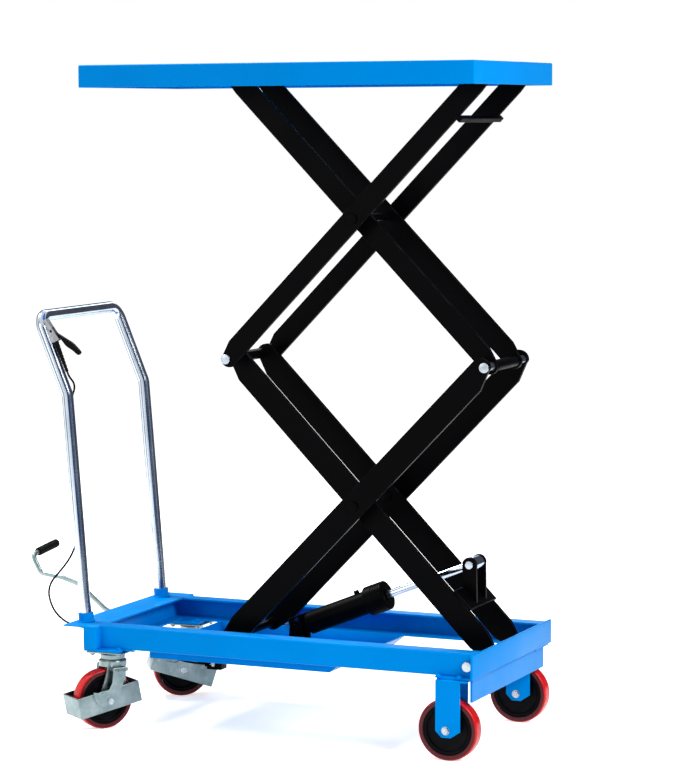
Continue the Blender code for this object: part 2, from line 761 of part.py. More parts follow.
def pedal_ear(side):
    """A plate under the rear flange that holds one end of the pedal's shaft."""
    radius = PEDAL_HUB_RADIUS
    top = BASE_TOP_Z - RAIL_WALL / 2
    outline = [(BASE_REAR_X + RAIL_WALL / 2, top), (PEDAL_PIVOT.x - radius, top)]
    outline += arc(PEDAL_PIVOT.x, PEDAL_PIVOT.z, radius, 180, 270)
    outline += [(BASE_REAR_X + RAIL_WALL / 2, PEDAL_PIVOT.z - radius)]
    inner = PEDAL_HUB_LENGTH / 2 + GAP
    return flat_plate(outline, *sorted((side * inner, side * (inner + PLATE))))


def handle_direction():
    return Vector((-math.sin(HANDLE_LEAN), 0, math.cos(HANDLE_LEAN)))


def handle_foot(side):
    return Vector((HANDLE_X, side * HANDLE_SPREAD / 2, BASE_TOP_Z))


def handle_collar(side):
    foot = handle_foot(side)
    return rod(foot - handle_direction() * SHEET / 2, foot + handle_direction() * COLLAR_HEIGHT,
               COLLAR_RADIUS)


def handle_bore(side):
    foot = handle_foot(side)
    return rod(foot, foot + handle_direction() * COLLAR_HEIGHT * 2, HANDLE_RADIUS + 2 * GAP)


def tray_outline(inset):
    """The tray seen from the side, drawn in by a wall thickness."""
    front = TRAY_REAR_X + TRAY_LENGTH
    top = BASE_BOTTOM_Z + RAIL_WALL
    return [
        (TRAY_REAR_X + inset, TRAY_BOTTOM_Z + inset),
        (front - TRAY_SLOPE - inset, TRAY_BOTTOM_Z + inset),
        (front - inset, top + inset),
        (TRAY_REAR_X + inset, top + inset),
    ]


def base_tray(parent):
    """The sheet tray between the rails, open on top, with a sloped front."""
    half = RAIL_INNER_FACE - GAP
    tray = flat_plate(tray_outline(0), -half, half)
    cut(tray, [
        flat_plate(tray_outline(SHEET), SHEET - half, half - SHEET),
        rod(
            (TAIL_PIVOT_X, pipe_y(), TRAY_BOTTOM_Z - SHEET),
            (TAIL_PIVOT_X, pipe_y(), TRAY_FLOOR_Z + SHEET),
            2 * PIPE_RADIUS,
        ),
    ])
    return place(tray, "base_tray", BLUE_PAINT, parent)


# Handle, hand release and its cable

def handle_path():
    """The right leg from its socket to its knee and top, over to the left leg."""
    foot = handle_foot(-1) + handle_direction() * 2 * GAP
    knee = foot + handle_direction() * HANDLE_KNEE_HEIGHT
    upper = Vector((-math.sin(HANDLE_UPPER_LEAN), 0, math.cos(HANDLE_UPPER_LEAN)))
    corner = knee + upper * HANDLE_UPPER_LENGTH
    right = [foot, knee, corner]
    left = [Vector((point.x, -point.y, point.z)) for point in reversed(right)]
    return right + left


def handle_tube(parent):
    made = tube(bend_path(handle_path(), HANDLE_BEND_RADIUS, 15), HANDLE_RADIUS, 4)
    return place(made, "handle_tube", CHROME, parent)


def clamp_frame():
    """The clamp's place on the right leg: its middle and the leg's direction there."""
    foot, knee, corner = handle_path()[:3]
    direction = (corner - knee).normalized()
    return knee + direction * CLAMP_DISTANCE, direction


def lever_clamp(parent):
    """A slim bracket on the front of the handle's right leg, forked for the hand lever."""
    middle, _ = clamp_frame()
    outline = [
        (HANDLE_RADIUS / 2, CLAMP_BOTTOM), (CLAMP_REACH - SHEET / 3, CLAMP_BOTTOM),
        (CLAMP_REACH, CLAMP_BOTTOM + PLATE), (CLAMP_REACH - 2 * SHEET, LEVER_PIVOT_HEIGHT),
        (HANDLE_RADIUS + 2 * SHEET, CLAMP_TOP), (HANDLE_RADIUS / 2, CLAMP_TOP),
    ]
    clamp = flat_plate(outline, -CLAMP_HALF_WIDTH, CLAMP_HALF_WIDTH)
    slot_half = LEVER_HALF_WIDTH + GAP
    floor_end = BOOT_X + BOOT_RADIUS - SHEET / 2
    slot_top = LEVER_PIVOT_HEIGHT + LEVER_ROOT_RADIUS + SHEET
    slot_back = HANDLE_RADIUS + SHEET / 3
    cut(clamp, [
        rod((0, 0, 3 * CLAMP_BOTTOM), (0, 0, 2 * CLAMP_TOP), HANDLE_RADIUS + GAP),
        block(
            (0, -2 * CLAMP_HALF_WIDTH, HANDLE_UPPER_LENGTH - HANDLE_BEND_RADIUS - CLAMP_DISTANCE - SHEET),
            (HANDLE_RADIUS + GAP, 2 * CLAMP_HALF_WIDTH, 2 * CLAMP_TOP),
        ),
        block((slot_back, -slot_half, CLAMP_BOTTOM + SHEET), (floor_end, slot_half, slot_top)),
        block((floor_end - SHEET, -slot_half, 2 * CLAMP_BOTTOM), (2 * CLAMP_REACH, slot_half, slot_top)),
        crossbar(LEVER_PIVOT_X, LEVER_PIVOT_HEIGHT, CLAMP_TOP, LEVER_PIN_RADIUS + GAP),
    ])
    return place(clamp, "lever_clamp", GREY_METAL, parent, middle, (0, -HANDLE_UPPER_LEAN, 0))


def clamp_point(forward, height):
    """A point beside the clamp, from its distance before the leg's axis and along the leg."""
    middle, direction = clamp_frame()
    ahead = Vector((direction.z, 0, -direction.x))
    return middle + ahead * forward + direction * height


def release_lever(parent):
    """A curved hand lever with its hinge pin."""
    outline = arc(0, 0, LEVER_ROOT_RADIUS, 60, 270) + list(reversed(LEVER_OUTLINE))
    lever = flat_plate(outline, -LEVER_HALF_WIDTH, LEVER_HALF_WIDTH)
    pin_half = CLAMP_HALF_WIDTH - GAP
    weld(lever, [crossbar(0, 0, pin_half, LEVER_PIN_RADIUS)])
    return place(lever, "release_lever", BLACK_PLASTIC, parent)


def boot_end():
    return CLAMP_BOTTOM - GAP - BOOT_LENGTH


def cable_boot(parent):
    """The tapered sleeve that guides the cable out of the clamp."""
    ring = BOOT_RADIUS - SHEET / 3
    tip = CABLE_RADIUS + SHEET / 2
    bore = CABLE_RADIUS + GAP
    profile = [(0, BOOT_LENGTH), (BOOT_RADIUS, BOOT_LENGTH)]
    ribs = 5
    for index in range(ribs):
        height = BOOT_LENGTH * (1 - (index + 1) / (ribs + 1))
        radius = ring + (tip - ring) * index / ribs
        profile += [(radius, height + SHEET), (radius - SHEET / 4, height)]
    profile += [(tip, 0), (bore, 0), (bore, BOOT_BORE_DEPTH), (0, BOOT_BORE_DEPTH)]
    made = turned(profile, 12)
    foot = clamp_point(BOOT_X, boot_end())
    return place(made, "cable_boot", BLACK_PLASTIC, parent, foot, (0, -HANDLE_UPPER_LEAN, 0))


def valve_arm_pivot():
    return Vector((
        PUMP_REAR_X + PUMP_LENGTH / 2,
        PUSH_ROD_Y - PUMP_WIDTH / 2 - SHEET / 2 - VALVE_ARM_PLATE / 2,
        PUSH_ROD_Z + VALVE_SPINDLE_RADIUS,
    ))


def cable_path():
    """From the boot, around behind the leg, out in a free bow and in under the base."""
    behind = HANDLE_RADIUS + CABLE_RADIUS + SHEET / 2
    foot = handle_foot(-1)
    knee = foot + handle_direction() * HANDLE_KNEE_HEIGHT
    behind_leg = Vector((-0.5 * behind, 0.87 * behind, 0))
    arm_tip = valve_arm_pivot() - Vector((0, 0, VALVE_ARM_LENGTH))
    corners = [
        clamp_point(BOOT_X, boot_end() + BOOT_BORE_DEPTH - SHEET),
        clamp_point(BOOT_X, boot_end() - CABLE_STRAIGHT),
        knee + Vector((0.7 * behind, 1.05 * behind, CABLE_ABOVE_KNEE)),
        knee + Vector((-0.1 * behind, 1.05 * behind, -CABLE_BELOW_KNEE)),
        knee - handle_direction() * CABLE_BESIDE_LEG[0] + behind_leg,
        foot + handle_direction() * CABLE_BESIDE_LEG[1] + behind_leg,
    ]
    corners += [foot + Vector(offset) for offset in CABLE_BOW]
    corners += [arm_tip + Vector(offset) for offset in CABLE_TO_PUMP]
    corners.append(arm_tip - Vector((CABLE_STOP_DISTANCE + GAP, 0, 0)))
    return bend_path(corners, CABLE_BEND_RADIUS)


def release_cable(parent):
    made = tube(cable_path(), CABLE_RADIUS)
    return place(made, "release_cable", BLACK_RUBBER, parent)


# Foot pedal, push rod and pump

def pedal_path():
    """The bent rod from the pedal's hub to the far end of its cross grip."""
    path = [Vector((x, 0, z)) for x, z in PEDAL_BENDS]
    path.append(path[-1] + Vector((GRIP_TURN_X, GRIP_LENGTH + PEDAL_ROD_RADIUS, GRIP_RISE)))
    return path


def pedal_lever(parent):
    """The pedal's hub with its bent rod, and the crank below with the push rod's pin."""
    pin = (-CRANK_LENGTH * math.sin(CRANK_REST_ANGLE), -CRANK_LENGTH * math.cos(CRANK_REST_ANGLE))
    hub = crossbar(0, 0, PEDAL_HUB_LENGTH / 2, PEDAL_HUB_RADIUS)
    tip_radius = CRANK_PIN_RADIUS + SHEET
    tip = arc(pin[0], pin[1], tip_radius, 170, 370)
    crank = flat_plate([(-tip_radius, 0)] + tip + [(tip_radius, 0)], -CRANK_PLATE / 2, CRANK_PLATE / 2)
    pin_end = PUSH_ROD_Y + PUSH_ROD_RADIUS + SHEET
    crank_pin = rod((pin[0], -CRANK_PLATE / 4, pin[1]), (pin[0], pin_end, pin[1]), CRANK_PIN_RADIUS, 16)
    bent_rod = tube(bend_path(pedal_path(), PEDAL_BEND_RADIUS), PEDAL_ROD_RADIUS, 3)
    weld(hub, [crank, crank_pin, bent_rod])
    cut(hub, [crossbar(0, 0, PEDAL_HUB_LENGTH, PEDAL_SHAFT_RADIUS + GAP)])
    return place(hub, "pedal_lever", ZINC, parent)


def pedal_grip(parent):
    """The rubber sleeve pushed over the pedal's cross end."""
    corner, end = pedal_path()[-2:]
    along = (end - corner).normalized()
    start = end - along * (GRIP_LENGTH - 3 * PEDAL_ROD_RADIUS)
    bore = PEDAL_ROD_RADIUS + GAP
    length = GRIP_LENGTH - 2 * PEDAL_ROD_RADIUS
    chamfer = SHEET / 2
    made = turned([
        (0, length),
        (GRIP_RADIUS - chamfer, length),
        (GRIP_RADIUS, length - chamfer),
        (GRIP_RADIUS, chamfer),
        (GRIP_RADIUS - chamfer, 0),
        (bore, 0),
        (bore, length - PEDAL_ROD_RADIUS),
        (0, length - PEDAL_ROD_RADIUS),
    ], 24)
    turn = Vector((0, 0, 1)).rotation_difference(along).to_euler()
    return place(made, "pedal_grip", BLACK_RUBBER, parent, start, turn)


def pedal_shaft(parent):
    half = PEDAL_HUB_LENGTH / 2 + 2 * GAP + PLATE
    made = headed_pin(half, PEDAL_SHAFT_RADIUS, PEDAL_SHAFT_RADIUS + SHEET, SHEET)
    return place(made, "pedal_shaft", STEEL, parent, PEDAL_PIVOT, ACROSS)


def push_rod(parent):
    """A rod with a flat eye on the crank's pin and a plain end against the plunger."""
    low = CRANK_PLATE / 2 + GAP
    eye = flat_plate(
        arc(0, 0, PUSH_ROD_EYE_RADIUS, 0, 345), low, low + 2 * PUSH_ROD_RADIUS,
        [(0, 0, CRANK_PIN_RADIUS + GAP)],
    )
    shank_start = (PUSH_ROD_EYE_RADIUS + CRANK_PIN_RADIUS) / 2
    shank = rod((shank_start, PUSH_ROD_Y, 0), (PUSH_ROD_LENGTH, PUSH_ROD_Y, 0), PUSH_ROD_RADIUS * 0.96)
    weld(eye, [shank])
    return place(eye, "push_rod", ZINC, parent)


def pump_body(parent):
    """The pump block under the tray, with its plunger bore and the valve spindle's hole."""
    low = (PUMP_REAR_X, PUSH_ROD_Y - PUMP_WIDTH / 2, PUMP_TOP_Z - PUMP_HEIGHT)
    high = (PUMP_REAR_X + PUMP_LENGTH, PUSH_ROD_Y + PUMP_WIDTH / 2, PUMP_TOP_Z)
    pump = block(low, high, SHEET / 2)
    axis = Vector((PUMP_REAR_X, PUSH_ROD_Y, PUSH_ROD_Z))
    barrel_end = PUMP_LENGTH + PUMP_BARREL_LENGTH
    weld(pump, [
        rod(
            axis + Vector((PUMP_LENGTH / 2, 0, 0)), axis + Vector((barrel_end, 0, 0)),
            PUMP_BARREL_RADIUS,
        )
    ])
    spindle = valve_arm_pivot()
    spindle_hole_end = low[1] + VALVE_SPINDLE_REACH + GAP
    stop_x = spindle.x - CABLE_STOP_DISTANCE
    cable_z = spindle.z - VALVE_ARM_LENGTH
    stop_edge = 2 * CABLE_RADIUS
    weld(pump, [
        block(
            (PUMP_REAR_X, spindle.y - stop_edge, cable_z - stop_edge),
            (stop_x, low[1] + SHEET, cable_z + stop_edge),
        )
    ])
    cut(pump, [
        rod((PUMP_REAR_X - PLATE, spindle.y, cable_z), (spindle.x, spindle.y, cable_z), CABLE_RADIUS + GAP),
        rod(
            axis - Vector((PLATE, 0, 0)), axis + Vector((PUMP_BORE_DEPTH, 0, 0)),
            PLUNGER_RADIUS + GAP,
        ),
        rod(
            spindle - Vector((0, PLATE, 0)), (spindle.x, spindle_hole_end, spindle.z),
            VALVE_SPINDLE_RADIUS + GAP, 16,
        ),
    ])
    return place(pump, "pump_body", BLACK_PAINT, parent)


def pump_plunger(parent):
    made = rod((0, 0, 0), (PLUNGER_LENGTH, 0, 0), PLUNGER_RADIUS)
    return place(made, "pump_plunger", STEEL, parent)


def release_valve_arm(parent):
    """A short arm on the valve's spindle, pulled by the cable."""
    root = VALVE_SPINDLE_RADIUS + SHEET
    outline = arc(0, 0, root, 0, 180) + arc(0, -VALVE_ARM_LENGTH, PLATE, 180, 360)
    arm = flat_plate(outline, -VALVE_ARM_PLATE / 2, VALVE_ARM_PLATE / 2)
    end = VALVE_ARM_PLATE / 2 + SHEET / 2 + VALVE_SPINDLE_REACH
    weld(arm, [rod((0, 0, 0), (0, end, 0), VALVE_SPINDLE_RADIUS, 16)])
    return place(arm, "release_valve_arm", ZINC, parent)


def pipe_y():
    return TAIL_BRACKET_WIDTH / 2 + PIPE_SPACING


def pressure_pipe(parent):
    """The oil pipe from the pump, up through the tray to the cylinder's bracket."""
    start = (PUMP_REAR_X + PUMP_LENGTH + GAP, PUSH_ROD_Y, PIPE_HEIGHT)
    clear_of_pump = (PUMP_REAR_X + 2 * PUMP_LENGTH, PUSH_ROD_Y, PIPE_HEIGHT)
    corner = (TAIL_PIVOT_X, pipe_y(), PIPE_HEIGHT)
    top = (TAIL_PIVOT_X, pipe_y(), TRAY_FLOOR_Z + TAIL_BRACKET_HEIGHT / 2)
    end = (TAIL_PIVOT_X, TAIL_BRACKET_WIDTH / 2 + GAP, top[2])
    made = tube(bend_path([start, clear_of_pump, corner, top, end], 3 * PIPE_RADIUS), PIPE_RADIUS)
    return place(made, "pressure_pipe", STEEL, parent)


# Hydraulic cylinder

def cylinder_bracket(parent):
    """A block on the tray with two ears for the cylinder's tail pin."""
    half = TAIL_BRACKET_LENGTH / 2
    height = TAIL_PIVOT_HEIGHT - GAP
    foot = -height
    body = block(
        (-half, -TAIL_BRACKET_WIDTH / 2, foot),
        (half, TAIL_BRACKET_WIDTH / 2, foot + TAIL_BRACKET_HEIGHT),
        SHEET / 2,
    )
    radius = TAIL_PIN_RADIUS + 2 * PLATE
    inner = TAIL_LUG_WIDTH / 2 + GAP
    for side in SIDES.values():
        outline = arc(0, 0, radius, 0, 180) + [
            (-radius - PLATE, foot + SHEET), (radius + PLATE, foot + SHEET)
        ]
        weld(body, [flat_plate(outline, *sorted((side * inner, side * (inner + EAR_THICKNESS))))])
    cut(body, [crossbar(0, 0, TAIL_BRACKET_WIDTH, TAIL_PIN_RADIUS + GAP)])
    return place(body, "cylinder_bracket", BLACK_PAINT, parent, (TAIL_PIVOT_X, 0, TAIL_PIVOT_Z))


def cylinder_tail_pin(parent):
    half = TAIL_LUG_WIDTH / 2 + 2 * GAP + EAR_THICKNESS
    made = headed_pin(half, TAIL_PIN_RADIUS, TAIL_PIN_RADIUS + SHEET, SHEET)
    return place(made, "cylinder_tail_pin", STEEL, parent, (TAIL_PIVOT_X, 0, TAIL_PIVOT_Z), ACROSS)


def rod_pin_place():
    """The rod pin seen from the base pivot."""
    x = -CYLINDER_ALONG_ARM * math.cos(RAISED_ANGLE) + CYLINDER_OFF_ARM * math.sin(RAISED_ANGLE)
    z = CYLINDER_ALONG_ARM * math.sin(RAISED_ANGLE) + CYLINDER_OFF_ARM * math.cos(RAISED_ANGLE)
    return Vector((x, 0, z))


def cylinder_axis():
    """The vector from the tail pin to the rod pin."""
    return Vector((FRONT_PIVOT_X, 0, PIVOT_Z)) + rod_pin_place() - Vector((TAIL_PIVOT_X, 0, TAIL_PIVOT_Z))


def rod_length():
    """The rod from its eye to the far face of the piston, which stops short of the head."""
    head_inside = CYLINDER_LENGTH - CYLINDER_HEAD_WALL
    return cylinder_axis().length - head_inside + PISTON_SETBACK + PISTON_LENGTH


def cylinder_slope():
    axis = cylinder_axis()
    return (0, -math.atan2(axis.z, axis.x), 0)


def along_cylinder(made):
    """Lay a shape turned about Z along X."""
    made.data.transform(Vector((0, 0, 1)).rotation_difference(Vector((1, 0, 0))).to_matrix().to_4x4())
    return made


def baked(made):
    """The shape with its modifiers applied."""
    TOOLS.objects.link(made)
    bpy.context.view_layer.update()
    mesh = bpy.data.meshes.new_from_object(made.evaluated_get(bpy.context.evaluated_depsgraph_get()))
    bpy.data.objects.remove(made, do_unlink=True)
    return bpy.data.objects.new("shape", mesh)


def cylinder_barrel(parent):
    """The barrel with its wider head, and a tail lug whose pin hole is a slot."""
    bore = CYLINDER_RADIUS - CYLINDER_WALL
    bore_start = CYLINDER_START + CYLINDER_WALL + GAP
    bore_end = CYLINDER_LENGTH - CYLINDER_HEAD_WALL
    chamfer = SHEET
    profile = [
        (ROD_RADIUS + GAP, CYLINDER_LENGTH),
        (CYLINDER_HEAD_RADIUS - chamfer, CYLINDER_LENGTH),
        (CYLINDER_HEAD_RADIUS, CYLINDER_LENGTH - chamfer),
        (CYLINDER_HEAD_RADIUS, CYLINDER_HEAD_START),
        (CYLINDER_RADIUS, CYLINDER_HEAD_START),
        (CYLINDER_RADIUS, CYLINDER_START),
        (0, CYLINDER_START),
    ]
    inside = [
        (0, bore_start),
        (bore, bore_start),
        (bore, bore_end),
        (ROD_RADIUS + GAP, bore_end),
    ]
    shell = turned(profile + inside, closed=True)
    barrel = along_cylinder(baked(shell))
    x_low, x_high, z_low, z_high = TAIL_PIN_TRAVEL
    reach = TAIL_PIN_RADIUS + 2 * GAP
    lug_wall = PLATE
    half = TAIL_LUG_WIDTH / 2
    weld(barrel, [
        block(
            (x_low - reach - lug_wall, -half, z_low - reach - lug_wall),
            (CYLINDER_START + SHEET, half, z_high + reach + lug_wall),
            SHEET / 2,
        )
    ])
    cut(barrel, [
        block((x_low - reach, -2 * half, z_low - reach), (x_high + reach, 2 * half, z_high + reach))
    ])
    return place(barrel, "cylinder_barrel", BLACK_PAINT, parent, (-cylinder_axis().length, 0, 0))


def cylinder_rod(parent):
    """The chromed rod with its piston at one end and its eye at the other."""
    piston_radius = CYLINDER_RADIUS - CYLINDER_WALL - GAP
    length = rod_length()
    made = rod((-length, 0, 0), (0, 0, 0), ROD_RADIUS)
    weld(made, [
        rod((-length, 0, 0), (PISTON_LENGTH - length, 0, 0), piston_radius),
        crossbar(0, 0, ROD_EYE_WIDTH / 2, ROD_EYE_RADIUS),
    ])
    cut(made, [crossbar(0, 0, ROD_EYE_WIDTH, ROD_PIN_RADIUS + GAP)])
    return place(made, "cylinder_rod", CHROME, parent)


def arm_bracket(parent):
    """A plate across the lower inner arms with two ears that reach up to the rod pin."""
    bottom = LOWER_ARM_WIDTH / 2 + GAP
    radius = ROD_PIN_RADIUS + 2 * PLATE
    plate = block(
        (-ARM_BRACKET_FAR, -INNER_ARM_FACE, bottom),
        (-ARM_BRACKET_NEAR, INNER_ARM_FACE, bottom + EAR_THICKNESS),
        SHEET / 2,
    )
    inner = ROD_EYE_WIDTH / 2 + 2 * GAP
    for side in SIDES.values():
        outline = arc(-CYLINDER_ALONG_ARM, CYLINDER_OFF_ARM, radius, 30, 210)
        outline += [(-ARM_BRACKET_FAR + PLATE, bottom + SHEET), (-ARM_BRACKET_NEAR - PLATE, bottom + SHEET)]
        weld(plate, [flat_plate(outline, *sorted((side * inner, side * (inner + EAR_THICKNESS))))])
    cut(plate, [
        crossbar(-CYLINDER_ALONG_ARM, CYLINDER_OFF_ARM, INNER_ARM_FACE, ROD_PIN_RADIUS + GAP)
    ])
    return place(plate, "arm_bracket", BLACK_PAINT, parent, rotation=(0, RAISED_ANGLE, 0))


def cylinder_rod_pin(parent):
    half = ROD_EYE_WIDTH / 2 + 3 * GAP + EAR_THICKNESS
    made = headed_pin(half, ROD_PIN_RADIUS, ROD_PIN_RADIUS + SHEET, SHEET)
    return place(made, "cylinder_rod_pin", STEEL, parent, rod_pin_place(), ACROSS)


# Casters

def wheel_core(parent, name):
    """A solid wheel body with a rim, a thinner web and a bored hub."""
    rim = WHEEL_RADIUS - TREAD_DEPTH - GAP
    half = WHEEL_WIDTH / 2
    hub_half = half + FORK_CLEARANCE - GAP
    web = half - TREAD_DEPTH / 2
    bore = AXLE_RADIUS + GAP
    hub = 3 * AXLE_RADIUS
    side = [
        (bore, hub_half),
        (hub, hub_half),
        (hub, web),
        (rim - TREAD_DEPTH, web),
        (rim - TREAD_DEPTH + SHEET, half - SHEET / 2),
        (rim, half - SHEET / 2),
    ]
    profile = side + [(radius, -height) for radius, height in reversed(side)]
    return place(turned(profile, closed=True), name, BLACK_PLASTIC, parent, (0, 0, 0), ACROSS)


def wheel_tyre(parent, name):
    """The cast tread, with rounded shoulders."""
    inner = WHEEL_RADIUS - TREAD_DEPTH
    half = WHEEL_WIDTH / 2
    shoulder = WHEEL_RADIUS - 2 * SHEET
    rounding = 2 * SHEET
    side = [(inner, half)]
    side += [
        (shoulder + rounding * math.sin(angle), half - rounding + rounding * math.cos(angle))
        for angle in (0, math.radians(45), math.radians(90))
    ]
    profile = side + [(radius, -height) for radius, height in reversed(side)]
    return place(turned(profile, 36, closed=True), name, RED_TREAD, parent, (0, 0, 0), ACROSS)


def axle_bolt(parent, name, half_length, location):
    made = headed_pin(half_length, AXLE_RADIUS, BOLT_HEAD_RADIUS, BOLT_HEAD_THICKNESS, 12)
    return place(made, name, STEEL, parent, location, ACROSS)


def fork_leg_face():
    """How far a fork leg's outer face is from the wheel's middle."""
    return WHEEL_WIDTH / 2 + FORK_CLEARANCE + FORK_PLATE


def front_fork(parent, side_name, centre):
    """A fixed fork: a top plate and two legs with chamfered ends."""
    top = CASTER_HEIGHT - GAP - centre.z
    rear = -FRONT_FORK_WIDTH * 0.42
    front = rear + FRONT_FORK_WIDTH
    outer = fork_leg_face()
    low = BOLT_HEAD_RADIUS * 1.65
    chamfer = low - SHEET / 2
    fork = block(
        (rear, -outer, top - FORK_PLATE),
        (front + low, outer, top),
        SHEET / 2,
    )
    outline = [
        (rear, top - FORK_PLATE / 2), (rear, -SHEET / 2), (rear + chamfer, -low),
        (front - 1.5 * chamfer, -low), (front, -SHEET / 2), (front, top - FORK_PLATE / 2),
    ]
    for side in SIDES.values():
        faces = sorted((side * (outer - FORK_PLATE), side * outer))
        weld(fork, [flat_plate(outline, *faces)])
    cut(fork, [crossbar(0, 0, 2 * outer, AXLE_RADIUS + GAP)])
    return place(fork, f"front_fork_{side_name}", BLUE_PAINT, parent, centre)


def swivel_plate(parent, side_name, axis):
    """The rear caster's top plate with its bearing ring."""
    half = MOUNT_PLATE_LENGTH / 2
    top = CASTER_HEIGHT - GAP
    bearing = CROWN_TOP + GAP
    plate = block((-half, -half, top - FORK_PLATE), (half, half, top), SHEET / 2)
    weld(plate, [rod((0, 0, bearing), (0, 0, top - FORK_PLATE / 2), SWIVEL_RADIUS)])
    return place(plate, f"swivel_plate_{side_name}", ZINC, parent, axis)


def swivel_fork(parent, side_name):
    """The rear fork: a round crown and two trailing legs."""
    outer = fork_leg_face()
    leg_end = 3 * AXLE_RADIUS
    crown_bottom = CROWN_TOP - 2 * FORK_PLATE
    fork = rod((0, 0, crown_bottom), (0, 0, CROWN_TOP), SWIVEL_RADIUS + SHEET, 24)
    front = SWIVEL_RADIUS * 0.8
    outline = [(-front, CROWN_TOP - FORK_PLATE), (-CASTER_TRAIL - leg_end, WHEEL_RADIUS + leg_end)]
    outline += arc(-CASTER_TRAIL, WHEEL_RADIUS, leg_end, 170, 330)
    outline += [(front, WHEEL_RADIUS + 2 * leg_end), (front, CROWN_TOP - FORK_PLATE)]
    web = block(
        (-front, -outer, crown_bottom), (front, outer, CROWN_TOP - FORK_PLATE / 2), SHEET / 2
    )
    weld(fork, [web])
    for side in SIDES.values():
        faces = sorted((side * (outer - FORK_PLATE), side * outer))
        weld(fork, [flat_plate(outline, *faces)])
    cut(fork, [crossbar(-CASTER_TRAIL, WHEEL_RADIUS, 2 * outer, AXLE_RADIUS + GAP)])
    return place(fork, f"swivel_fork_{side_name}", ZINC, parent)


def brake_frame(parent, side_name):
    """A sheet ring around the wheel, hung on the axle bolt, that is stepped on to brake."""
    half_length = BRAKE_LENGTH / 2
    half_width = BRAKE_HALF_WIDTH
    low = -BRAKE_DEPTH * BRAKE_DROP_SHARE
    high = low + BRAKE_DEPTH
    ring = block((-half_length, -half_width, low), (half_length, half_width, high), SHEET / 2)
    wall = BRAKE_SHEET
    cut(ring, [
        block((wall - half_length, wall - half_width, low - PLATE),
              (half_length - wall, half_width - wall, high + PLATE)),
        crossbar(0, 0, 2 * half_width, AXLE_RADIUS + GAP),
    ])
    tilt = (0, -BRAKE_TILT[side_name], 0)
    return place(ring, f"brake_frame_{side_name}", ZINC, parent, rotation=tilt)


# Assembly

def add_scissor(base):
    """The chain of arms from the base pivot up to the table."""
    half_reach = ARM_REACH / 2
    half_rise = ARM_RISE / 2
    rising = math.pi - RAISED_ANGLE
    shaft_half = OUTER_ARM_FACE + GAP

    lift = joint_axis("lift_axis", base, (FRONT_PIVOT_X, 0, PIVOT_Z))
    lower_inner_arms(lift, (0, 0, 0), rising)
    arm_bracket(lift)
    cylinder_rod_pin(lift)

    lower_cross = joint_axis("lower_cross_axis", lift, (-half_reach, 0, half_rise))
    lower_outer_arms(lower_cross, (-half_reach, 0, -half_rise), RAISED_ANGLE)
    for side_name, side in SIDES.items():
        centre_pin(lower_cross, side_name)
        axle = joint_axis(f"base_roller_axis_{side_name}", lower_cross, (-half_reach, 0, -half_rise))
        middle = RAIL_FACE - RAIL_WALL - 4 * GAP - ROLLER_WIDTH / 2
        roller(axle, f"base_roller_{side_name}", ROLLER_RADIUS, side * middle)
    pivot_shaft(lower_cross, "front_joint_shaft", shaft_half, (half_reach, 0, half_rise))

    rear_joint = joint_axis("rear_joint_axis", lift, (-ARM_REACH, 0, ARM_RISE))
    upper_outer_arms(rear_joint, (0, 0, 0), RAISED_ANGLE)
    pivot_shaft(rear_joint, "rear_joint_shaft", shaft_half)
    pivot_shaft(
        rear_joint, "upper_centre_shaft", shaft_half, (half_reach, 0, half_rise), BLACK_PAINT
    )

    upper_cross = joint_axis("upper_cross_axis", rear_joint, (half_reach, 0, half_rise))
    upper_inner_arms(upper_cross, (half_reach, 0, -half_rise), rising)
    for side_name, side in SIDES.items():
        axle = joint_axis(f"table_roller_axis_{side_name}", upper_cross, (-half_reach, 0, half_rise))
        middle = INNER_ARM_FACE + GAP + ROLLER_WIDTH / 2
        roller(axle, f"table_roller_{side_name}", TABLE_ROLLER_RADIUS, side * middle)

    table = joint_axis("table_axis", rear_joint, (ARM_REACH, 0, ARM_RISE))
    table_deck(table)
    for side_name in SIDES:
        table_channel(table, side_name)
    pivot_shaft(table, "table_pivot_shaft", OUTER_ARM_FACE + 2 * GAP + PLATE)

    rod_axis = joint_axis("cylinder_rod_axis", lift, rod_pin_place(), cylinder_slope())
    cylinder_rod(rod_axis)
    cylinder_barrel(rod_axis)


def add_base(base):
    base_frame(base)
    base_tray(base)
    pivot_shaft(base, "base_pivot_shaft", RAIL_FACE + GAP, (FRONT_PIVOT_X, 0, PIVOT_Z))
    cylinder_bracket(base)
    cylinder_tail_pin(base)
    pump_body(base)
    pressure_pipe(base)


def add_controls(base):
    handle_tube(base)
    lever_clamp(base)
    cable_boot(base)
    release_cable(base)
    lever_axis = joint_axis(
        "release_lever_axis", base, clamp_point(LEVER_PIVOT_X, LEVER_PIVOT_HEIGHT)
    )
    release_lever(lever_axis)
    release_valve_arm(joint_axis("valve_arm_axis", base, valve_arm_pivot()))

    pedal_shaft(base)
    pedal = joint_axis("pedal_axis", base, PEDAL_PIVOT)
    pedal_lever(pedal)
    pedal_grip(pedal)
    crank_pin = Vector((CRANK_PIN_X, 0, PUSH_ROD_Z)) - PEDAL_PIVOT
    push_rod(joint_axis("push_rod_axis", pedal, crank_pin))
    pump_plunger(joint_axis("plunger_axis", base, (PLUNGER_X, PUSH_ROD_Y, PUSH_ROD_Z)))


def add_front_caster(base, side_name, side):
    centre = Vector((BASE_FRONT_X - FRONT_WHEEL_SETBACK, side * (BASE_WIDTH / 2 - FRONT_WHEEL_SET_IN), WHEEL_RADIUS))
    front_fork(base, side_name, centre)
    axle_bolt(base, f"front_axle_bolt_{side_name}", fork_leg_face() + GAP, centre)
    wheel = joint_axis(f"front_wheel_axis_{side_name}", base, centre)
    wheel_core(wheel, f"front_wheel_core_{side_name}")
    wheel_tyre(wheel, f"front_tyre_{side_name}")


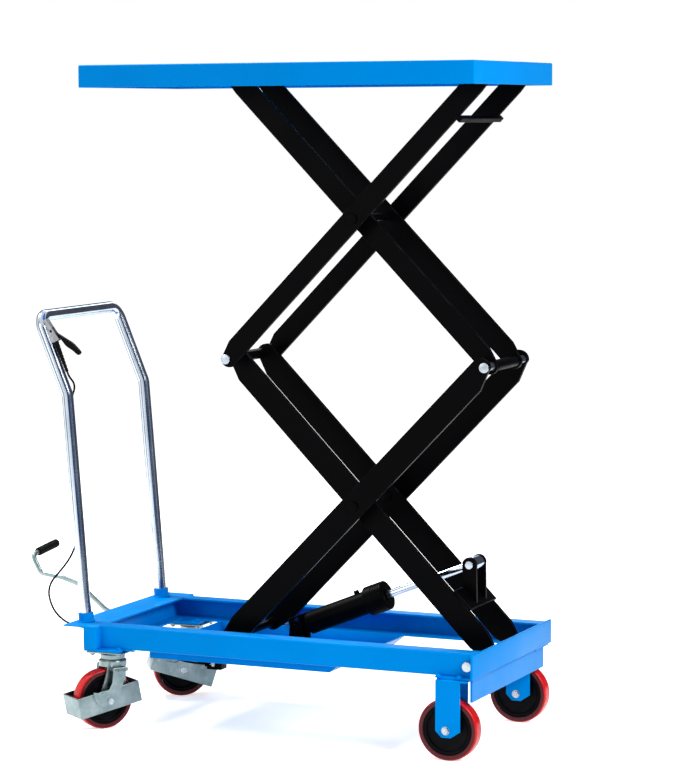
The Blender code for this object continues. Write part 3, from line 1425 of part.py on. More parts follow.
def add_rear_caster(base, side_name, side):
    axis = Vector((BASE_REAR_X + REAR_CASTER_SETBACK, side * (BASE_WIDTH / 2 - REAR_CASTER_SET_IN), 0))
    swivel_plate(base, side_name, axis)
    swivel = joint_axis(f"swivel_axis_{side_name}", base, axis, (0, 0, CASTER_YAW[side_name]))
    swivel_fork(swivel, side_name)
    centre = Vector((-CASTER_TRAIL, 0, WHEEL_RADIUS))
    axle_bolt(swivel, f"rear_axle_bolt_{side_name}", BRAKE_HALF_WIDTH + GAP, centre)
    wheel = joint_axis(f"rear_wheel_axis_{side_name}", swivel, centre)
    wheel_core(wheel, f"rear_wheel_core_{side_name}")
    wheel_tyre(wheel, f"rear_tyre_{side_name}")
    brake_frame(joint_axis(f"brake_axis_{side_name}", swivel, centre), side_name)


def stand_on_floor(root):
    """Move the whole so that the middle of its underside is at the world's origin."""
    bpy.context.view_layer.update()
    depsgraph = bpy.context.evaluated_depsgraph_get()
    low = Vector((math.inf, math.inf, math.inf))
    high = -low
    for made in PARTS.objects:
        if made.type != "MESH":
            continue
        for vertex in made.evaluated_get(depsgraph).data.vertices:
            point = made.matrix_world @ vertex.co
            low = Vector(map(min, low, point))
            high = Vector(map(max, high, point))
    root.location = (-(low.x + high.x) / 2, -(low.y + high.y) / 2, -low.z)


def build():
    root = joint_axis("lift_table_root", None, (0, 0, 0))
    add_base(root)
    add_controls(root)
    add_scissor(root)
    for side_name, side in SIDES.items():
        add_front_caster(root, side_name, side)
        add_rear_caster(root, side_name, side)
    stand_on_floor(root)


build()
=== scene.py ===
import json
import math

import bmesh
import bpy
from mathutils import Matrix, Vector

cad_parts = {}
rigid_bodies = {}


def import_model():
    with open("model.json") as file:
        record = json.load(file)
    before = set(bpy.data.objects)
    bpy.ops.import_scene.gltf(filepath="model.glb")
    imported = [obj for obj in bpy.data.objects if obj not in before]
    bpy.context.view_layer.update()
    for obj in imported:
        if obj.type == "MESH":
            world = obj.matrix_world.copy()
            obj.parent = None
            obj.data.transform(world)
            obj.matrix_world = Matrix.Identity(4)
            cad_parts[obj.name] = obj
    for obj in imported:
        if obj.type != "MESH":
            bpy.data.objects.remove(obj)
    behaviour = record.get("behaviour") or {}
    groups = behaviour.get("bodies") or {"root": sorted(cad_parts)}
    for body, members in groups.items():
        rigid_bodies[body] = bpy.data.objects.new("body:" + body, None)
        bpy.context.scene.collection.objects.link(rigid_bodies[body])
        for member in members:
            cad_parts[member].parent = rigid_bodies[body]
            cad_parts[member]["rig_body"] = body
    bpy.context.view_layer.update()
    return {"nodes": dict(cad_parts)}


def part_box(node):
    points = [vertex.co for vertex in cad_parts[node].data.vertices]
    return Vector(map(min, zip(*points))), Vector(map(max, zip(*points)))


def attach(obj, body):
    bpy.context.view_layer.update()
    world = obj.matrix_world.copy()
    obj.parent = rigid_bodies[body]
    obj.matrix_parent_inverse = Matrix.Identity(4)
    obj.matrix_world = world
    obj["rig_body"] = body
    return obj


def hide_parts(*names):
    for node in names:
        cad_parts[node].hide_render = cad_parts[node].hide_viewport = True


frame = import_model()
scene = bpy.context.scene
scene.view_settings.view_transform = "Standard"


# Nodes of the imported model

def middle_of(node):
    low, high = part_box(node)
    return (low + high) / 2


def body_of(node):
    return frame["nodes"][node]["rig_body"]


def slot_of(node):
    return frame["nodes"][node].data.materials[0].name.split(".")[0]


# Blender's own data

def configure(item, **settings):
    """Set several attributes of an item and hand it back."""
    for setting, value in settings.items():
        setattr(item, setting, value)
    return item


def in_scene(name, data):
    """A new object in the scene."""
    made = bpy.data.objects.new(name, data)
    scene.collection.objects.link(made)
    return made


def line_curve(name, lines, cyclic=False, **settings):
    """A curve of straight runs through the points of each line."""
    curve = configure(bpy.data.curves.new(name, "CURVE"), **{"dimensions": "3D", **settings})
    for line in lines:
        spline = curve.splines.new("POLY")
        spline.points.add(len(line) - 1)
        for point, place in zip(spline.points, line):
            point.co = (*place, 1)
        spline.use_cyclic_u = cyclic
    return curve


def feed(tree, node, places=None, **inputs):
    """Give a node's inputs, by place or by name, a value or another node's output."""
    chosen = [(node.inputs[place], value) for place, value in (places or {}).items()]
    chosen += [(node.inputs[label.replace("_", " ")], value) for label, value in inputs.items()]
    for socket, value in chosen:
        if isinstance(value, bpy.types.NodeSocket):
            tree.links.new(value, socket)
        else:
            socket.default_value = value
    return node


def add_node(tree, kind, settings=None, places=None, **inputs):
    """A new node with its settings and inputs."""
    return feed(tree, configure(tree.nodes.new(kind), **(settings or {})), places, **inputs)


def reckon(tree, operation, *values):
    """The result of a Math node."""
    return add_node(tree, "ShaderNodeMath", {"operation": operation}, dict(enumerate(values))).outputs[0]


def map_range(tree, value, *limits):
    """A value mapped from one range to another, or to 0 and 1, and held at the ends."""
    return add_node(tree, "ShaderNodeMapRange", None, {0: value, **dict(enumerate(limits, 1))}).outputs["Result"]


def emptied_tree(owner):
    """The node tree of a material or a world, without its first nodes."""
    owner.use_nodes = True
    owner.node_tree.nodes.clear()
    return owner.node_tree


# Places and sizes, in metres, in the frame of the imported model

SIDES = {"right": -1, "left": 1}
MIDDLE = Vector((*middle_of("table_deck").xy, 0))
GAP = 0.0003
SHEET = 0.003


def world_point(x, y, z):
    """A place given from the middle of the table, with its height above the floor."""
    return MIDDLE + Vector((x, y, z))


def photo_camera():
    """The camera stands in front of the table's long side, a little to the right."""
    turn = Matrix.Translation(world_point(2.85103, -6.34418, 1.47552))
    for degrees, axis in ((24.693, "Z"), (90 - 4.958, "X"), (-0.295, "Z")):
        turn = turn @ Matrix.Rotation(math.radians(degrees), 4, axis)
    data = configure(
        bpy.data.cameras.new("photo_camera"), sensor_fit="HORIZONTAL", sensor_width=36, lens=155.0,
        shift_x=0.0654, shift_y=-0.0193, clip_end=100,
    )
    scene.camera = in_scene("photo_camera", data)
    scene.camera.matrix_world = turn


photo_camera()


# Finishes
# A noise is (scale, detail) and, where it runs one way, its stretch. Its limits are mapped to 0 and 1, or to
# two more values. Paint is a base colour and the layers over it, each as (colour, noise or attribute, limits)
# and, where it keeps to an attribute, that one's name. Relief is bumps, each as (noise, strength, depth).

def finish(name, colour, roughness, paint, gloss, relief, metallic=0.0, **levels):
    """A Principled material on Object coordinates, which are metres in the model's frame."""
    material = bpy.data.materials.new(name)
    material.use_nodes = True
    material.diffuse_color = (*colour, 1)
    tree = material.node_tree
    place = add_node(tree, "ShaderNodeTexCoord").outputs["Object"]
    shader = tree.nodes["Principled BSDF"]
    feed(tree, shader, Base_Color=(*colour, 1), Roughness=roughness, Metallic=metallic, **levels)

    def pattern(source):
        """The attribute of that name, or a noise."""
        if isinstance(source, str):
            return add_node(tree, "ShaderNodeAttribute", {"attribute_name": source}).outputs["Fac"]
        scale, detail, stretch = (*source, (1, 1, 1))[:3]
        spot = add_node(tree, "ShaderNodeMapping", Vector=place, Scale=stretch).outputs["Vector"]
        return add_node(tree, "ShaderNodeTexNoise", Vector=spot, Scale=scale, Detail=detail).outputs["Fac"]

    tone = (*paint[0], 1)
    for layer, source, limits, *masks in paint[1:]:
        amount = map_range(tree, pattern(source), *limits)
        for mask in masks:
            amount = reckon(tree, "MULTIPLY", pattern(mask), amount)
        places = {0: amount, 6: tone, 7: (*layer, 1)}
        tone = add_node(tree, "ShaderNodeMix", {"data_type": "RGBA"}, places).outputs[2]
    bumps = {}
    for source, strength, depth in relief:
        bump = add_node(tree, "ShaderNodeBump", Height=pattern(source), Strength=strength, Distance=depth, **bumps)
        bumps = {"Normal": bump.outputs["Normal"]}
    noise, limits = gloss
    feed(tree, shader, Base_Color=tone, Roughness=map_range(tree, pattern(noise), *limits), **bumps)
    return material


def enamel(name, colour, edge_wear_and_highlight, roughness, dust, **levels):
    """Sprayed paint: a fine orange peel, faint clouding, dust specks, and lighter edges that are partly rubbed wear
    and partly a painted highlight.
    """
    return finish(
        name, colour, roughness,
        [
            tuple(part * 0.86 for part in colour), (colour, (2.6, 2), (0.3, 0.7)),
            (dust, (160, 2), (0.66, 0.74, 0.0, 0.35)), (edge_wear_and_highlight, (38, 4), (0.42, 0.68, 0.0, 0.75), "edge"),
        ],
        ((9, 4), (0.3, 0.7, roughness * 0.82, roughness * 1.22)),
        [((330, 2), 0.10, 0.0004), ((24, 2), 0.06, 0.0012)], **levels,
    )


FINISHES = {
    # Blue enamel: its lighter edge colour is partly rubbed wear and partly a painted highlight along the edges.
    "blue_paint": enamel(
        "blue_enamel", (0.0, 0.262, 0.78), (0.0, 0.34, 0.84), 0.34, (0.0, 0.31, 0.82),
        Specular_IOR_Level=0.05, Specular_Tint=(0.0, 0.5, 1.0, 1),
    ),
    # Black enamel: its lighter edge colour is a painted highlight along the arms' edges, with some rubbed wear.
    "black_paint": enamel(
        "black_enamel", (0.0012, 0.0012, 0.0016), (0.022, 0.022, 0.025), 0.36, (0.003, 0.003, 0.0035),
        Specular_IOR_Level=0.025,
    ),
    # Bright plating with faint ripples and fine rubbing marks along the tube
    "chrome": finish(
        "polished_chrome", (0.56, 0.63, 0.71), 0.12,
        [(0.60, 0.67, 0.75), ((0.47, 0.53, 0.60), (14, 4), (0.35, 0.75))],
        ((60, 5, (1, 1, 0.12)), (0.35, 0.75, 0.10, 0.22)),
        [((420, 3, (1, 1, 0.08)), 0.015, 0.0002), ((30, 2), 0.02, 0.0008)],
        1.0, Specular_Tint=(0.56, 0.63, 0.71, 1),
    ),
    # Pressed sheet with bluish zinc plating, cloudy, stained and lightly brushed
    "zinc": finish(
        "zinc_plating", (0.36, 0.44, 0.45), 0.34,
        [
            (0.17, 0.235, 0.24), ((0.28, 0.345, 0.35), (26, 4), (0.3, 0.7)),
            ((0.19, 0.20, 0.17), (55, 5), (0.60, 0.75, 0.0, 0.45)),
        ],
        ((90, 4), (0.3, 0.7, 0.24, 0.44)),
        [((520, 3, (1, 1, 0.15)), 0.10, 0.0003), ((70, 2), 0.08, 0.0006)], 1.0,
    ),
    # Bright turned steel with fine tool marks and a trace of oil
    "bright_steel": finish(
        "machined_steel", (0.40, 0.45, 0.50), 0.26,
        [(0.42, 0.47, 0.52), ((0.28, 0.29, 0.29), (48, 4), (0.5, 0.75, 0.0, 0.5))],
        ((120, 3), (0.3, 0.7, 0.18, 0.36)), [((900, 2, (1, 0.2, 1)), 0.10, 0.0002)],
        1.0, Specular_Tint=(0.5, 0.55, 0.6, 1),
    ),
    # Glossy tread with soft depth, fine scuffs, and side faces painted darker as shade
    "red_tread": finish(
        "cast_polyurethane", (0.62, 0.004, 0.006), 0.24,
        [
            (0.52, 0.003, 0.005), ((0.68, 0.006, 0.008), (22, 3), (0.3, 0.7)),
            ((0.40, 0.010, 0.010), (150, 5, (1, 0.25, 1)), (0.62, 0.74, 0.0, 0.35)),
            # The dark colour on the side faces is a painted shade.
            ((0.085, 0.003, 0.006), "side", (0.2, 0.9)),
        ],
        ((40, 4), (0.3, 0.75, 0.17, 0.42)), [((240, 3), 0.06, 0.0004)], Specular_IOR_Level=0.25,
    ),
    # Moulded plastic with a fine spark-eroded grain and lighter rubbed edges
    "black_plastic": finish(
        "moulded_nylon", (0.004, 0.004, 0.005), 0.44,
        [
            (0.002, 0.002, 0.003), ((0.006, 0.006, 0.006), (34, 4), (0.45, 0.75, 0.0, 0.6)),
            ((0.022, 0.022, 0.022), (80, 3), (0.4, 0.7, 0.0, 0.6), "edge"),
        ],
        ((60, 4), (0.3, 0.7, 0.36, 0.54)), [((1400, 2), 0.16, 0.0002)], Specular_IOR_Level=0.05,
    ),
    # Matt rubber with bloom and a pebbled skin
    "black_rubber": finish(
        "soft_rubber", (0.006, 0.006, 0.006), 0.72,
        [(0.003, 0.003, 0.003), ((0.010, 0.010, 0.010), (30, 4), (0.4, 0.75, 0.0, 0.7))],
        ((70, 3), (0.3, 0.7, 0.62, 0.84)), [((900, 3), 0.25, 0.0003)], Specular_IOR_Level=0.08,
    ),
    # Cast alloy with a sandy skin and bright rubbed edges
    "grey_metal": finish(
        "cast_grey", (0.30, 0.31, 0.33), 0.45,
        [
            (0.24, 0.25, 0.27), ((0.40, 0.41, 0.43), (60, 4), (0.3, 0.7)),
            ((0.60, 0.61, 0.63), (90, 3), (0.4, 0.65, 0.0, 0.8), "edge"),
        ],
        ((110, 3), (0.3, 0.7, 0.36, 0.56)), [((800, 3), 0.22, 0.0003)], 0.6,
    ),
}


# The release cable, whose route starts where it leaves the sleeve below the hand lever

LEG_SPREAD = 0.400
LEG_LEAN = math.radians(4.7)
LEG_FOOT_HEIGHT = 0.2514
KNEE_HEIGHT = 0.555
UPPER_LEAN = math.radians(22.5)
CLAMP_DISTANCE = 0.147
TUBE_RADIUS = 0.014
SLEEVE_AHEAD = 0.0215
SLEEVE_LENGTH = 0.077
SLEEVE_END = -0.0943
CABLE_RADIUS = 0.0025
CABLE_BEND_RADIUS = 0.020
CABLE_WIDEST_BEND = 0.4
BEND_STEP_DEGREES = 6

LEG_DIRECTION = Vector((-math.sin(LEG_LEAN), 0, math.cos(LEG_LEAN)))
UPPER_DIRECTION = Vector((-math.sin(UPPER_LEAN), 0, math.cos(UPPER_LEAN)))


def leg_foot(side):
    return world_point(-0.5310, side * LEG_SPREAD / 2, LEG_FOOT_HEIGHT)


def leg_knee(side):
    return leg_foot(side) + LEG_DIRECTION * KNEE_HEIGHT


def beside_clamp(forward, height):
    """A point before the right leg, from the middle of the lever's clamp."""
    ahead = Vector((UPPER_DIRECTION.z, 0, -UPPER_DIRECTION.x))
    centre = leg_knee(-1) + UPPER_DIRECTION * CLAMP_DISTANCE
    return centre + ahead * forward + UPPER_DIRECTION * height


def arm_tip():
    """Where the inner wire holds the valve's arm."""
    low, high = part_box("release_valve_arm")
    return Vector(((low.x + high.x) / 2, low.y + 0.002, low.z + 0.005))


def rounded_path(points, radius, widest=None):
    """A path of straight runs with its corners rounded, as wide as the runs allow up to a limit."""
    path = [Vector(points[0])]
    tightest = radius
    for before, corner, after in zip(points, points[1:], points[2:]):
        way_in = (corner - before).normalized()
        way_out = (after - corner).normalized()
        turn = way_in.angle(way_out)
        if widest:
            room = 0.495 * min((corner - before).length, (after - corner).length)
            radius = max(tightest, min(widest, room / math.tan(turn / 2)))
        set_back = radius * math.tan(turn / 2)
        centre = corner + (way_out - way_in).normalized() * radius / math.cos(turn / 2)
        axis = way_in.cross(way_out).normalized()
        spoke = corner - way_in * set_back - centre
        count = max(2, round(math.degrees(turn) / BEND_STEP_DEGREES))
        for index in range(count + 1):
            path.append(centre + Matrix.Rotation(turn * index / count, 3, axis) @ spoke)
    path.append(Vector(points[-1]))
    return path


def cable_route():
    behind = TUBE_RADIUS + CABLE_RADIUS + SHEET / 2
    foot = leg_foot(-1)
    knee = leg_knee(-1)
    tip = arm_tip()
    return rounded_path([
        beside_clamp(SLEEVE_AHEAD, SLEEVE_END),
        beside_clamp(SLEEVE_AHEAD, SLEEVE_END - 0.012),
        knee + Vector((0.7 * behind, 1.05 * behind, 0.022)),
        knee + Vector((-0.1 * behind, 1.05 * behind, -0.015)),
        knee - LEG_DIRECTION * 0.10 + Vector((-0.5 * behind, 0.87 * behind, 0)),
        foot + LEG_DIRECTION * 0.18 + Vector((-0.5 * behind, 0.87 * behind, 0)),
        foot + Vector((-0.103, -0.010, 0.080)),
        foot + Vector((-0.086, -0.020, 0.030)),
        foot + Vector((-0.038, -0.035, -0.003)),
        foot + Vector((-0.014, 0.020, -0.021)),
        foot + Vector((0.001, 0.150, -0.052)),
        tip + Vector((-0.080, -0.015, 0.006)),
        tip - Vector((0.035, 0, 0)),
        tip - Vector((0.0163, 0, 0)),
    ], CABLE_BEND_RADIUS, widest=CABLE_WIDEST_BEND)


def release_cable():
    route = cable_route()
    curve = line_curve(
        "release_cable_line", [route], bevel_depth=CABLE_RADIUS, bevel_resolution=4, use_fill_caps=True
    )
    curve.materials.append(FINISHES["black_rubber"])
    cable = in_scene("release_cable_line", curve)
    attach(cable, "base")
    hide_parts("release_cable")


release_cable()


# Floor, surroundings and light

CARD_DISTANCE = 3.4
CARD_HEIGHT = 3.6
CARD_SUNK = 0.02


def white_to_camera(tree):
    """1 for a ray that sees the background straight, by gloss or through glass."""
    rays = add_node(tree, "ShaderNodeLightPath").outputs
    seen = rays["Is Camera Ray"]
    for name in ("Is Glossy Ray", "Is Transmission Ray"):
        seen = reckon(tree, "MAXIMUM", seen, rays[name])
    return seen


def pale_floor():
    """A matt floor that shows white to the camera, a little less so under the object."""
    bpy.ops.mesh.primitive_plane_add(size=60, location=(0, 0, 0))
    floor = configure(bpy.context.object, name="pale_floor")
    material = bpy.data.materials.new("pale_floor")
    tree = emptied_tree(material)
    place = add_node(tree, "ShaderNodeTexCoord").outputs["Object"]
    away = add_node(tree, "ShaderNodeVectorMath", {"operation": "LENGTH"}, {0: place}).outputs["Value"]
    lift = reckon(tree, "MULTIPLY", white_to_camera(tree), map_range(tree, away, 0.8, 3.0, 0.62, 0.86))
    matt = add_node(tree, "ShaderNodeBsdfDiffuse", Color=(0.90, 0.90, 0.90, 1)).outputs["BSDF"]
    white = add_node(tree, "ShaderNodeEmission", Strength=lift).outputs["Emission"]
    both = add_node(tree, "ShaderNodeAddShader", None, {0: matt, 1: white}).outputs["Shader"]
    add_node(tree, "ShaderNodeOutputMaterial", Surface=both)
    floor.data.materials.append(material)


def white_surroundings():
    scene.world = bpy.data.worlds.new("white_surroundings")
    tree = emptied_tree(scene.world)
    soft, white = (
        add_node(tree, "ShaderNodeBackground", Color=colour, Strength=strength).outputs["Background"]
        for colour, strength in (((0.93, 0.96, 1.0, 1), 0.26), ((1, 1, 1, 1), 1.0))
    )
    mix = add_node(tree, "ShaderNodeMixShader", None, {0: white_to_camera(tree), 1: soft, 2: white})
    add_node(tree, "ShaderNodeOutputWorld", Surface=mix.outputs["Shader"])


def soft_lamp(name, place, aim, size, power, colour=(1, 1, 1)):
    data = configure(bpy.data.lights.new(name, "AREA"), shape="SQUARE", size=size, energy=power, color=colour)
    turn = (Vector(aim) - Vector(place)).to_track_quat("-Z", "Y").to_euler()
    configure(in_scene(name, data), location=place, rotation_euler=turn)


def glossy_card(name, azimuth, width, colour):
    """A card beside the object that only glossy surfaces see; its width is an angle too."""
    angle = math.radians(azimuth)
    half = CARD_DISTANCE * math.tan(math.radians(width / 2))
    bpy.ops.mesh.primitive_plane_add(size=1)
    card = configure(
        bpy.context.object, name=name, scale=(2 * half, CARD_HEIGHT, 1),
        location=(CARD_DISTANCE * math.sin(angle), -CARD_DISTANCE * math.cos(angle), CARD_HEIGHT / 2 - CARD_SUNK),
        rotation_euler=(math.radians(90), 0, angle),
        visible_camera=False, visible_diffuse=False, visible_shadow=False, visible_transmission=False,
    )
    material = bpy.data.materials.new(name)
    tree = emptied_tree(material)
    glow = add_node(tree, "ShaderNodeEmission", Color=(*colour, 1)).outputs["Emission"]
    add_node(tree, "ShaderNodeOutputMaterial", Surface=glow)
    card.data.materials.append(material)


pale_floor()
white_surroundings()
glossy_card("blue_card", 35, 40, (0.035, 0.07, 0.16))
glossy_card("grey_card", 75, 40, (0.13, 0.17, 0.27))
glossy_card("dark_card", 142, 88, (0.10, 0.10, 0.12))
glossy_card("left_card", -50, 16, (0.16, 0.19, 0.25))
glossy_card("rear_card", 225, 50, (0.10, 0.12, 0.16))
soft_lamp("key_lamp", (4.6, -1.7, 3.6), (0, 0, 0.8), 2.0, 268, (1.0, 0.985, 0.96))
soft_lamp("fill_lamp", (-2.6, -4.4, 2.4), (0, 0, 0.8), 3.0, 55)
soft_lamp("rear_lamp", (-1.6, 3.6, 3.2), (0, 0, 0.9), 2.5, 60)
soft_lamp("top_lamp", (-2.4, 0.3, 3.8), (-0.4, 0, 0.2), 1.2, 170)


# Building meshes

MERGE = 0.000005
SHARP = math.radians(35)
SMOOTH_BELOW = math.radians(20)
FLAT_WITHIN = math.radians(0.6)


def merged(parts):
    """Several edit meshes as one."""
    whole = bmesh.new()
    whole.faces.layers.float.new("edge")
    for part in parts:
        mesh = bpy.data.meshes.new("part")
        part.to_mesh(mesh)
        part.free()
        whole.from_mesh(mesh)
        bpy.data.meshes.remove(mesh)
    return whole


def moved(edit_mesh, place=(0, 0, 0), turn=None):
    """Turn an edit mesh about the origin and put it in its place."""
    if turn is not None:
        bmesh.ops.transform(edit_mesh, matrix=turn, verts=edit_mesh.verts)
    bmesh.ops.translate(edit_mesh, vec=Vector(place), verts=edit_mesh.verts)
    return edit_mesh


def pointing(direction):
    """The turn that lays the Z axis along a direction."""
    return Vector((0, 0, 1)).rotation_difference(Vector(direction)).to_matrix().to_4x4()


def facing(direction):
    """The same turn as three angles."""
    return tuple(Vector((0, 0, 1)).rotation_difference(Vector(direction)).to_euler())


ACROSS = pointing((0, 1, 0))


def across(made, half=0, place=(0, 0, 0)):
    """Lay a bar of half a length that was turned from 0 upwards across the object, about a place."""
    return moved(moved(made, (0, 0, -half)), place, ACROSS)


def between(made, start, end):
    """Lay a bar that was turned from 0 upwards between two points."""
    start, end = Vector(start), Vector(end)
    return moved(made, start, pointing(end - start))


def edge_layer(edit_mesh):
    layers = edit_mesh.faces.layers.float
    return layers.get("edge") or layers.new("edge")


def round_edges(edit_mesh, radius):
    """Round the sharp outer edges and mark the new faces as edges that may be rubbed."""
    layer = edge_layer(edit_mesh)
    sharp = [
        edge for edge in edit_mesh.edges
        if len(edge.link_faces) == 2 and edge.calc_face_angle(0) > SHARP and edge.is_convex
    ]
    made = bmesh.ops.bevel(
        edit_mesh, geom=sharp, offset=radius, offset_type="OFFSET", segments=2,
        profile=0.5, affect="EDGES", clamp_overlap=True,
    )
    for face in made["faces"]:
        face[layer] = 1
    return edit_mesh


def slab(low, high, radius):
    """A box between two corners with rounded edges."""
    low, high = Vector(low), Vector(high)
    edit_mesh = bmesh.new()
    bmesh.ops.create_cube(edit_mesh, size=1)
    bmesh.ops.scale(edit_mesh, vec=high - low, verts=edit_mesh.verts)
    bmesh.ops.translate(edit_mesh, vec=(low + high) / 2, verts=edit_mesh.verts)
    return round_edges(edit_mesh, radius)


def polar(radius, degrees):
    """A point at a distance and an angle from the origin."""
    angle = math.radians(degrees)
    return radius * math.cos(angle), radius * math.sin(angle)


def join_rings(edit_mesh, first, second):
    """Faces between two rings of points, one of which may be a single point."""
    count = max(len(first), len(second))
    for step in range(count):
        after = (step + 1) % count
        corners = [first[step % len(first)], second[step % len(second)]]
        corners += [second[after % len(second)], first[after % len(first)]]
        corners = list(dict.fromkeys(corners))
        if len(corners) > 2:
            edit_mesh.faces.new(corners)


def lathe(profile, steps=48):
    """A shape turned about Z from (radius, height) points; a radius of 0 closes it."""
    edit_mesh = bmesh.new()
    edge_layer(edit_mesh)
    rings = []
    for radius, height in profile:
        angles = [360 * step / steps for step in range(steps if radius else 1)]
        rings.append([edit_mesh.verts.new((*polar(radius, angle), height)) for angle in angles])
    for first, second in zip(rings, rings[1:]):
        join_rings(edit_mesh, first, second)
    if len(rings[0]) > 1 and len(rings[-1]) > 1:
        join_rings(edit_mesh, rings[-1], rings[0])
    return edit_mesh


def rim(radius, height, rounding, inward=1, steps=4):
    """Profile points round an outer corner, from the end face over to the side."""
    angles = [math.pi / 2 * step / steps for step in range(steps + 1)]
    return [
        (radius - rounding + rounding * math.sin(angle), height - inward * rounding * (1 - math.cos(angle)))
        for angle in angles
    ]


def both_ways(side):
    """A profile from its end to its middle, carried on to the other end as its mirror image."""
    return side + [(radius, -height) for radius, height in reversed(side)]


def rounded_bar(radius, length, rounding, steps=48, bore=0):
    """A round bar from 0 up along Z with rounded ends, or a tube where it has a bore."""
    top = rim(radius, length, rounding)
    foot = rim(radius, 0, rounding, -1)[::-1]
    return lathe([(bore, length), *top, *foot, (bore, 0)], steps)


def arc(centre_x, centre_z, radius, start_degrees, end_degrees, step_degrees=6):
    turned = end_degrees - start_degrees
    count = max(2, round(abs(turned) / step_degrees))
    spokes = [polar(radius, start_degrees + turned * index / count) for index in range(count + 1)]
    return [(centre_x + x, centre_z + z) for x, z in spokes]


def circle(place, turn, centre, axis, radius, steps):
    """Points round a centre, about axis 0, 1 or 2 of a piece that is turned and set in its place."""
    points = []
    for step in range(steps):
        spoke = list(polar(radius, 360 * step / steps))
        spoke.insert(axis, 0)
        points.append(place + turn @ (Vector(centre) + Vector(spoke)))
    return points


def evaluated_mesh(source):
    """The plain mesh that an object of the scene gives; the object itself goes."""
    bpy.context.view_layer.update()
    mesh = bpy.data.meshes.new_from_object(source.evaluated_get(bpy.context.evaluated_depsgraph_get()))
    bpy.data.objects.remove(source, do_unlink=True)
    return mesh


def curve_shape(curve):
    """A curve as an edit mesh with its doubles merged."""
    mesh = evaluated_mesh(in_scene("curve", curve))
    bpy.data.curves.remove(curve)
    edit_mesh = bmesh.new()
    edit_mesh.from_mesh(mesh)
    bpy.data.meshes.remove(mesh)
    bmesh.ops.remove_doubles(edit_mesh, verts=edit_mesh.verts, dist=MERGE)
    bmesh.ops.recalc_face_normals(edit_mesh, faces=edit_mesh.faces)
    return edit_mesh


def plate(outline, first_face, second_face, holes=(), edge=0.0008):
    """A plate in the XZ plane between two faces, from (x, z) points and round holes, with rounded rims."""
    y_low, y_high = sorted((first_face, second_face))
    rings = [outline] + [arc(x, z, radius, 0, -360, 11.25)[:-1] for x, z, radius in holes]
    edit_mesh = curve_shape(line_curve(
        "outline", [[(x, z, 0) for x, z in ring] for ring in rings], True, dimensions="2D", fill_mode="BOTH",
        extrude=(y_high - y_low) / 2 - edge, bevel_depth=edge, bevel_resolution=1, offset=-edge,
    ))
    for vertex in edit_mesh.verts:
        x, z, depth = vertex.co
        vertex.co = (x, (y_low + y_high) / 2 - depth, z)
    bmesh.ops.recalc_face_normals(edit_mesh, faces=edit_mesh.faces)
    edit_mesh.normal_update()
    layer = edge_layer(edit_mesh)
    for face in edit_mesh.faces:
        face[layer] = 1.0 if 0.15 < abs(face.normal.y) < 0.97 else 0.0
    return edit_mesh


def bar_along(path, radius, resolution):
    """A round bar that follows a path of points."""
    edit_mesh = curve_shape(
        line_curve("path", [path], bevel_depth=radius, bevel_resolution=resolution, use_fill_caps=True)
    )
    edge_layer(edit_mesh)
    return edit_mesh


def on_both_sides(make):
    """The same shape made for the right and for the left side."""
    return [make(side) for side in SIDES.values()]


def set_on_body(name, mesh, slot, body):
    """A finished mesh as a piece of the model that rides on a body."""
    mesh.materials.clear()
    mesh.materials.append(FINISHES[slot])
    piece = in_scene(name, mesh)
    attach(piece, body)
    return piece


def finished(edit_mesh, name, slot, body, nodes=()):
    """Make the piece, with its place in its mesh, and put it on its body."""
    bmesh.ops.recalc_face_normals(edit_mesh, faces=edit_mesh.faces)
    mesh = bpy.data.meshes.new(name)
    edit_mesh.to_mesh(mesh)
    edit_mesh.free()
    mesh.shade_smooth()
    mesh.set_sharp_from_angle(angle=SMOOTH_BELOW)
    piece = set_on_body(name, mesh, slot, body)
    if nodes:
        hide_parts(*nodes)


def in_place_of(node, edit_mesh, ending, slot):
    """The piece that replaces one node, on that node's body."""
    finished(edit_mesh, f"{node}_{ending}", slot, body_of(node), [node])


def refined(node, radius, holed):
    """A node's own shape with its sharp edges rounded; holed keeps faces round a hole in triangles."""
    edit_mesh = bmesh.new()
    edit_mesh.from_mesh(frame["nodes"][node].data)
    bmesh.ops.remove_doubles(edit_mesh, verts=edit_mesh.verts, dist=MERGE)
    bmesh.ops.dissolve_limit(
        edit_mesh, angle_limit=FLAT_WITHIN, verts=edit_mesh.verts, edges=edit_mesh.edges,
        use_dissolve_boundaries=False, delimit={"NORMAL"},
    )
    if holed:
        bmesh.ops.triangulate(edit_mesh, faces=[face for face in edit_mesh.faces if len(face.verts) > 4])
    in_place_of(node, round_edges(edit_mesh, radius), "finished", slot_of(node))


# Geometry Nodes for what repeats

def empty_tree(name, **sizes):
    """A node tree with named inputs for its sizes and its material, and the sockets that give them."""
    tree = bpy.data.node_groups.new(name, "GeometryNodeTree")
    for way in ("INPUT", "OUTPUT"):
        tree.interface.new_socket("Geometry", in_out=way, socket_type="NodeSocketGeometry")
    kinds = {float: "Float", int: "Int", tuple: "Vector"}
    for label, value in sizes.items():
        socket = tree.interface.new_socket(label, in_out="INPUT", socket_type=f"NodeSocket{kinds[type(value)]}")
        socket.default_value = value
    tree.interface.new_socket("Material", in_out="INPUT", socket_type="NodeSocketMaterial")
    return tree, tree.nodes.new("NodeGroupInput").outputs


def close_tree(tree, sizes, geometry):
    realized = add_node(tree, "GeometryNodeRealizeInstances", Geometry=geometry).outputs["Geometry"]
    painted = add_node(tree, "GeometryNodeSetMaterial", Geometry=realized, Material=sizes["Material"])
    add_node(tree, "NodeGroupOutput", Geometry=painted.outputs["Geometry"])
    return tree


def on_every_point(tree, sizes, shape):
    """End a tree with its shape set on every point and turned as asked."""
    points = add_node(tree, "GeometryNodeMeshToPoints", Mesh=sizes["Geometry"]).outputs["Points"]
    placed = add_node(
        tree, "GeometryNodeInstanceOnPoints", Points=points, Instance=shape, Rotation=sizes["Turn"]
    )
    return close_tree(tree, sizes, placed.outputs["Instances"])


